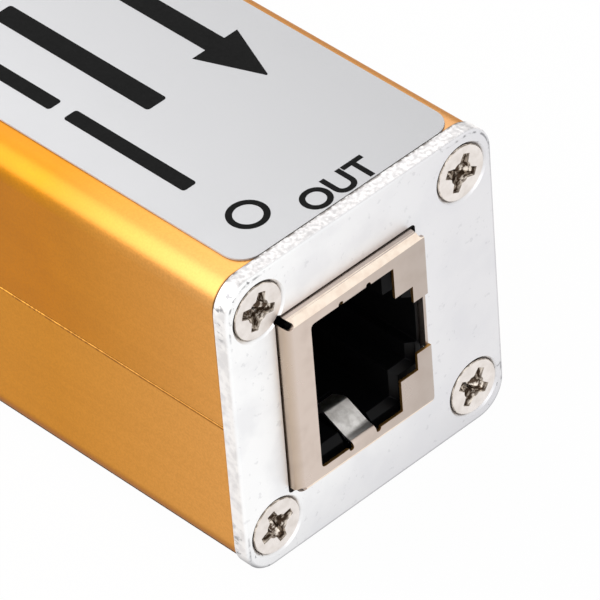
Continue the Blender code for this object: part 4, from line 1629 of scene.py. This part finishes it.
        def is_cut_edge(place: Vector, way: Vector) -> bool:
            """Tell whether a face lies in the mouth's rim or on the edge of the latch side."""
            in_sheet = back < place.x < high.x - self.bared_behind and abs(way.x) < self.bared_turn
            return in_sheet and place.y > folds_end and in_mouth(place)

        def is_long_fold(place: Vector, way: Vector) -> bool:
            """Tell whether a face is rounded from the face to the upper or lower flange."""
            turning = least < abs(way.z) < most and way.x > self.fold_front and abs(way.y) < self.fold_side
            return turning and (place.z - middle.z) * way.z > 0 and place.x > fold_start

        def is_finger(place: Vector, way: Vector) -> bool:
            """Tell whether a face belongs to a finger's straight part or its tip."""
            behind = self.lit_finger_from < high.x - place.x < self.lit_finger_to
            return abs(place.y - finger_y) < finger_half and behind and in_mouth(place)

        return is_cut_edge, is_long_fold, is_finger

    def tabs(self) -> list[Object]:
        """Make the two solder tabs that reach through the board.

        Returns:
            The tabs.
        """
        low, high = self.sizes.outside()
        end = node_box("jack_shield_out")[1].y
        x = high.x - self.tab_setback
        sheet, half = self.sizes.sheet, self.tab_width / 2
        return [
            block("tab", (x - half, high.y - sheet, z), (x + half, end, z + sheet))
            for z in (low.z, high.z - sheet)
        ]

    def latch_strip(self) -> Object:
        """Make the strip of sheet whose edge shows across the latch's slot.

        Returns:
            The strip.
        """
        high = self.sizes.outside()[1]
        middle = self.sizes.middle()
        half = self.sizes.slot_height / 2 + self.latch_spare
        near = (high.x - self.latch_wall, high.y - self.sizes.sheet, middle.z - half)
        far = (high.x - self.latch_spare, high.y - self.latch_sink, middle.z + half)
        return block("latch_strip", near, far)


@dataclass
class Housing:
    """The socket's black housing, with a chamfered lead-in round its cavity."""

    sizes: ShieldSizes
    lead_in: float = 0.55 * MM
    lead_depth: float = 0.5 * MM
    cavity_inset: float = 0.7 * MM
    near_inset: float = 0.19 * MM
    step_inset: float = 0.04 * MM
    latch_inset: float = 0.4 * MM
    edge_round: float = 0.06 * MM
    latch_room: float = 0.35 * MM
    latch_room_depth: float = 3.0 * MM
    latch_room_spare: float = 0.6 * MM

    def build(self, finish: Material) -> None:
        """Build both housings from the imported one.

        Args:
            finish: The moulded finish.
        """
        housing = copy_of_node("jack_housing_out", "housing_out")
        cut(housing, *self.cutters())
        soften(housing, self.edge_round)
        dress(housing, finish)
        hand_over_pair(housing, "jack_housing_out")

    def cutters(self) -> list[Object]:
        """Make the flared cutters that chamfer the cavity, and the one round the latch strip.

        Returns:
            The cutters.
        """
        front = node_box("jack_housing_out")[1].x
        near, step, slot = self.sizes.mouth()
        middle = self.sizes.middle()
        cutters = []
        cavity_half = self.sizes.height / 2 - self.sizes.rim_side - self.cavity_inset
        spans = (
            (near + self.near_inset, step - self.step_inset, cavity_half),
            (near + MM, slot, self.sizes.step_height / 2 - self.latch_inset),
        )
        for start, end, half in spans:
            back = (front - self.lead_depth, start, middle.z - half)
            flare = block("flare", back, (front + HAIR, end, middle.z + half))
            pick(flare, Part.POINTS, lambda point: point.x > front)
            growth = (1.0, 1.0 + 2 * self.lead_in / (end - start), 1.0 + self.lead_in / half)
            resize_picked(growth, (front, (start + end) / 2, middle.z))
            bpy.ops.object.mode_set(mode="OBJECT")
            cutters.append(flare)
        high = self.sizes.outside()[1]
        half = self.sizes.slot_height / 2 + self.latch_room_spare
        back = (high.x - self.latch_room_depth, high.y - self.latch_room, middle.z - half)
        cutters.append(block("latch_room", back, (high.x + MM, high.y + MM, middle.z + half)))
        return cutters


@dataclass
class Label:
    """The silver label on the top face, with generic marks in place of its print."""

    corner: float = 1.8 * MM
    edge_round: float = 0.03 * MM
    end_gap: float = 0.3 * MM
    thickness: float = 0.14 * MM
    lift: float = 0.003 * MM
    ink: float = 0.012 * MM
    bar_corner: float = 0.25 * MM
    arrow_start: float = -24.0 * MM
    arrow_neck: float = 20.7 * MM
    arrow_tip: float = 26.1 * MM
    arrow_line: float = 6.15 * MM
    arrow_shaft: float = 1.9 * MM
    arrow_barbs: float = 4.5 * MM
    arrow_point: float = 0.03
    ring_place: tuple[float, float] = (36.3 * MM, -5.7 * MM)
    ring_radius: float = 1.6 * MM
    ring_width: float = 0.5 * MM
    word_height: float = 2.4 * MM
    word_setback: float = 1.65 * MM
    word_shift: float = 0.75 * MM
    letter_weight: float = 0.025
    letter_depth: float = 0.01
    # Each port's word, its end of the label and its width.
    words: tuple[tuple[str, int, float], ...] = (("OUT", 1, 6.6 * MM), ("IN", -1, 3.6 * MM))
    # Each bar's name, its two ends along the label and its two edges across it, in millimetres.
    bars: tuple[tuple[str, float, float, float, float], ...] = (
        ("middle_bar_long", 6.1, 22.6, -2.3, -0.4),
        ("middle_bar_short", -8.0, 4.6, -2.3, -0.4),
        ("small_bar_long", 18.7, 31.1, -6.9, -5.6),
        ("small_bar_short", -2.0, 17.2, -6.9, -5.6),
    )

    def build(self, film: Material, ink: Material) -> None:
        """Build the label and its print.

        Args:
            film: The label film.
            ink: The printing ink.
        """
        low, high = node_box("label")
        end = node_box("end_plate_out")[0].x - self.end_gap
        sole = node_box("upper_shell")[1].z + self.lift
        face = sole + self.thickness
        label = block("label_sheet", (-end, low.y, sole), (end, high.y, face))
        bevel(label, self.corner, 12, axis=Axis.Z)
        bevel(label, self.edge_round, 2, lambda point: point.z > sole + TOUCH)
        shade(label, angle=40.0)
        dress(label, film)
        hand_over(label, "label")
        marks = [self.bar(face, *bar) for bar in self.bars]
        marks += [self.arrow(face), self.ring(face)]
        marks += [self.word(face, *word) for word in self.words]
        for mark in marks:
            dress(mark, ink)
            hand_over(mark)

    def bar(self, face: float, name: str, near: float, far: float, low: float, high: float) -> Object:
        """Print a plain bar.

        Args:
            face: The height of the label's face.
            name: The bar's name.
            near: Its first end along the label, in millimetres.
            far: Its other end.
            low: Its first edge across the label.
            high: Its other edge.

        Returns:
            The bar.
        """
        bar = block(name, (near * MM, low * MM, face), (far * MM, high * MM, face + self.ink))
        bevel(bar, self.bar_corner, 3, axis=Axis.Z)
        return bar

    def arrow(self, face: float) -> Object:
        """Print an arrow that points to the outgoing port.

        Args:
            face: The height of the label's face.

        Returns:
            The arrow.
        """
        neck, line, half = self.arrow_neck, self.arrow_line, self.arrow_shaft / 2
        near = (self.arrow_start, line - half, face)
        arrow = block("flow_arrow", near, (neck, line + half, face + self.ink))
        pick(arrow, Part.FACES, lambda point: point.x > neck - TOUCH)
        widths = ((0.0, self.arrow_barbs / self.arrow_shaft), (self.arrow_tip - neck, self.arrow_point))
        for reach, growth in widths:
            extrude((reach, 0, 0))
            resize_picked((1.0, growth, 1.0), (neck, line, face))
        bpy.ops.object.mode_set(mode="OBJECT")
        close_up(arrow)
        return arrow

    def ring(self, face: float) -> Object:
        """Print a plain ring near the corner.

        Args:
            face: The height of the label's face.

        Returns:
            The ring.
        """
        clear_selection()
        bpy.ops.mesh.primitive_circle_add(
            vertices=48, radius=self.ring_radius, fill_type="NGON", location=(*self.ring_place, face)
        )
        ring = settle("ring_mark")
        bpy.ops.object.mode_set(mode="EDIT")
        bpy.ops.mesh.select_all(action="SELECT")
        bpy.ops.mesh.inset(thickness=self.ring_width)
        bpy.ops.mesh.delete(type="FACE")
        bpy.ops.mesh.select_all(action="SELECT")
        extrude((0, 0, self.ink))
        bpy.ops.object.mode_set(mode="OBJECT")
        close_up(ring)
        return ring

    def word(self, face: float, text: str, way: int, width: float) -> Object:
        """Print a port's word across the label beside its plate.

        Args:
            face: The height of the label's face.
            text: The word.
            way: 1 for the outgoing end, -1 for the incoming one.
            width: Its width.

        Returns:
            The word.
        """
        clear_selection()
        bpy.ops.object.text_add(location=(0, 0, 0))
        letters = bpy.context.object.data
        letters.body = text
        letters.align_x = "CENTER"
        letters.offset = self.letter_weight
        letters.extrude = self.letter_depth
        bpy.ops.object.convert(target="MESH")
        word = bpy.context.object
        corners = list(zip(*[tuple(corner) for corner in word.bound_box]))
        foot = Vector([min(values) for values in corners])
        span = Vector([max(values) for values in corners]) - foot
        centred = Matrix.Translation(-(foot + Vector((span.x / 2, 0, 0))))
        sized = Matrix.Diagonal((width / span.x, self.word_height / span.y, self.ink / span.z, 1.0))
        across = Matrix.Rotation(way * math.pi / 2, 4, "Z")
        x = way * (node_box("end_plate_out")[1].x - self.word_setback)
        place = Matrix.Translation((x, self.word_shift, face))
        word.matrix_world = place @ across @ sized @ centred
        word = settle(f"word_{text.lower()}")
        close_up(word)
        return word


@dataclass
class Inside:
    """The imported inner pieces, which keep their own shapes and get a real finish."""

    def build(self, plastic: Material) -> None:
        """Dress the contacts, their carriers, the board and what stands on it.

        Args:
            plastic: The moulded black finish.
        """
        finishes = {
            "contact_carrier": plastic,
            "contact_": GILT_CONTACT.material(),
            "circuit_board": GLASS_EPOXY.material(),
            "gas_tube": GLAZED_CERAMIC.material(),
            "diode_array": EPOXY_PACKAGE.material(),
        }
        for name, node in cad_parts.items():
            finish = next((finishes[start] for start in finishes if name.startswith(start)), None)
            if finish is not None:
                for slot in node.material_slots:
                    slot.material = finish
                log.info("%s: %s", node.name, finish.name)


# Studio

# One for the rays that show the background, and zero for those that light things.
SEEN_OR_MIRRORED = Worked(Step.LARGER, Ray(RayKind.CAMERA), Ray(RayKind.MIRRORED))
SHOWN = Worked(Step.LARGER, SEEN_OR_MIRRORED, Ray(RayKind.THROUGH_GLASS))


@dataclass
class Studio:
    """Camera, floor, backdrop and soft lamps."""

    azimuth: float = 48.457
    elevation: float = 40.132
    roll: float = -4.68
    distance: float = 0.43646
    target: Triple = (0.036549, -0.001747, 0.016322)
    lens: float = 370.47
    sensor: float = 36.0
    nearest: float = 0.01
    farthest: float = 50.0
    floor_size: float = 6.0
    floor_drop: float = 0.05 * MM
    floor_tone: str = "#F4F4F4"
    floor_roughness: float = 0.9
    floor_white: float = 0.98
    mirrored_white: float = 0.9
    world_level: float = 0.35
    # Each lamp's name, the way from the object to it, its distance, its side and its watts.
    lamps: tuple[tuple[str, Triple, float, float, float], ...] = (
        ("key_softbox", (-57.0, -64.0, 70.0), 0.26, 0.28, 0.62),
        ("top_softbox", (-57.0, 51.0, 65.0), 0.26, 0.26, 0.3),
        ("front_fill", (85.0, -35.0, 40.0), 0.7, 0.5, 0.6),
    )

    def build(self) -> None:
        """Set up the whole studio."""
        bpy.context.scene.view_settings.view_transform = "Standard"
        self.build_camera()
        self.build_floor()
        self.build_world()
        for lamp in self.lamps:
            self.hang(*lamp)

    def build_camera(self) -> None:
        """Place the camera at the photograph's viewing angle."""
        data = bpy.data.cameras.new("camera")
        camera = bpy.data.objects.new("camera", data)
        bpy.context.scene.collection.objects.link(camera)
        data.lens = self.lens
        data.sensor_width = self.sensor
        data.clip_start = self.nearest
        data.clip_end = self.farthest
        data.dof.use_dof = False
        turn, rise = math.radians(self.azimuth), math.radians(self.elevation)
        level = Vector((math.sin(turn), -math.cos(turn), 0)) * math.cos(rise)
        back = level + Vector((0, 0, math.sin(rise)))
        camera.location = Vector(self.target) + back * self.distance
        aim = (-back).to_track_quat("-Z", "Y").to_matrix()
        camera.rotation_euler = (aim @ Matrix.Rotation(math.radians(self.roll), 3, "Z")).to_euler()
        bpy.context.scene.camera = camera

    def build_floor(self) -> None:
        """Lay a plain pale floor of matt paper, whose white shows to the camera and in metal."""
        clear_selection()
        place = (0, 0, -self.floor_drop)
        bpy.ops.mesh.primitive_plane_add(size=self.floor_size, location=place)
        floor = settle("floor")
        paper = bpy.data.materials.new("matt_white_paper")
        surface = Surface(paper)
        shader = surface.tree.nodes["Principled BSDF"]
        feed(surface.tree, shader, "Base Color", linear(self.floor_tone))
        feed(surface.tree, shader, "Roughness", self.floor_roughness)
        white = add_node(surface.tree, "Emission", {"Strength": 1.0, "Color": linear("#FFFFFF")})
        mirrored = Fade(SHOWN, 0.0, 1.0, 0.0, self.mirrored_white)
        share = surface.value(Fade(Ray(RayKind.CAMERA), 0.0, 1.0, mirrored, self.floor_white))
        mixed = {0: share, 1: shader.outputs["BSDF"], 2: white.outputs["Emission"]}
        output = surface.tree.nodes["Material Output"]
        feed(surface.tree, output, "Surface", add_node(surface.tree, "MixShader", mixed).outputs[0])
        # The floor's white is for what mirrors it; it isn't to be sampled as a lamp.
        paper.cycles.emission_sampling = "NONE"
        floor.data.materials.append(paper)
        floor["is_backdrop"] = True

    def build_world(self) -> None:
        """Light the scene evenly, and show white to the camera and to reflections."""
        world = bpy.data.worlds.new("studio")
        bpy.context.scene.world = world
        surface = Surface(world)
        background = surface.tree.nodes["Background"]
        feed(surface.tree, background, "Color", linear("#FFFFFF"))
        level = surface.value(Fade(SHOWN, 0.0, 1.0, self.world_level, 1.0))
        feed(surface.tree, background, "Strength", level)

    def hang(self, name: str, way: Triple, reach: float, side: float, power: float) -> None:
        """Hang a soft square lamp that points at the object.

        Args:
            name: The lamp's name.
            way: The direction from the object towards it.
            reach: How far away it hangs.
            side: Its width and height.
            power: Its power in watts.
        """
        data = bpy.data.lights.new(name, "AREA")
        data.shape = "SQUARE"
        data.size = side
        data.energy = power
        lamp = bpy.data.objects.new(name, data)
        bpy.context.scene.collection.objects.link(lamp)
        towards = Vector(way).normalized()
        lamp.location = Vector(self.target) + towards * reach
        lamp.rotation_euler = towards.to_track_quat("Z", "Y").to_euler()


def main() -> None:
    """Build the looks in order."""
    logging.basicConfig(level=logging.INFO, format="%(message)s")
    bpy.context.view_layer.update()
    sizes = ShieldSizes()
    screws = PlateScrews()
    plastic = MOULDED_BLACK.material()
    Case().build(ANODISED_GOLD.material(), LOWER_EDGE_SHADE.material())
    EndPlate().build(sizes, screws.head, BARE_ALUMINIUM.material())
    screws.build(NICKEL_STEEL.material(), RECESS_OIL_AND_SHADE.material())
    Shield(sizes).build(PLATED_SHEET.material())
    Housing(sizes).build(plastic)
    Label().build(SILVER_FILM.material(), SCREEN_INK.material())
    Inside().build(plastic)
    Studio().build()


if __name__ == "__main__":
    main()
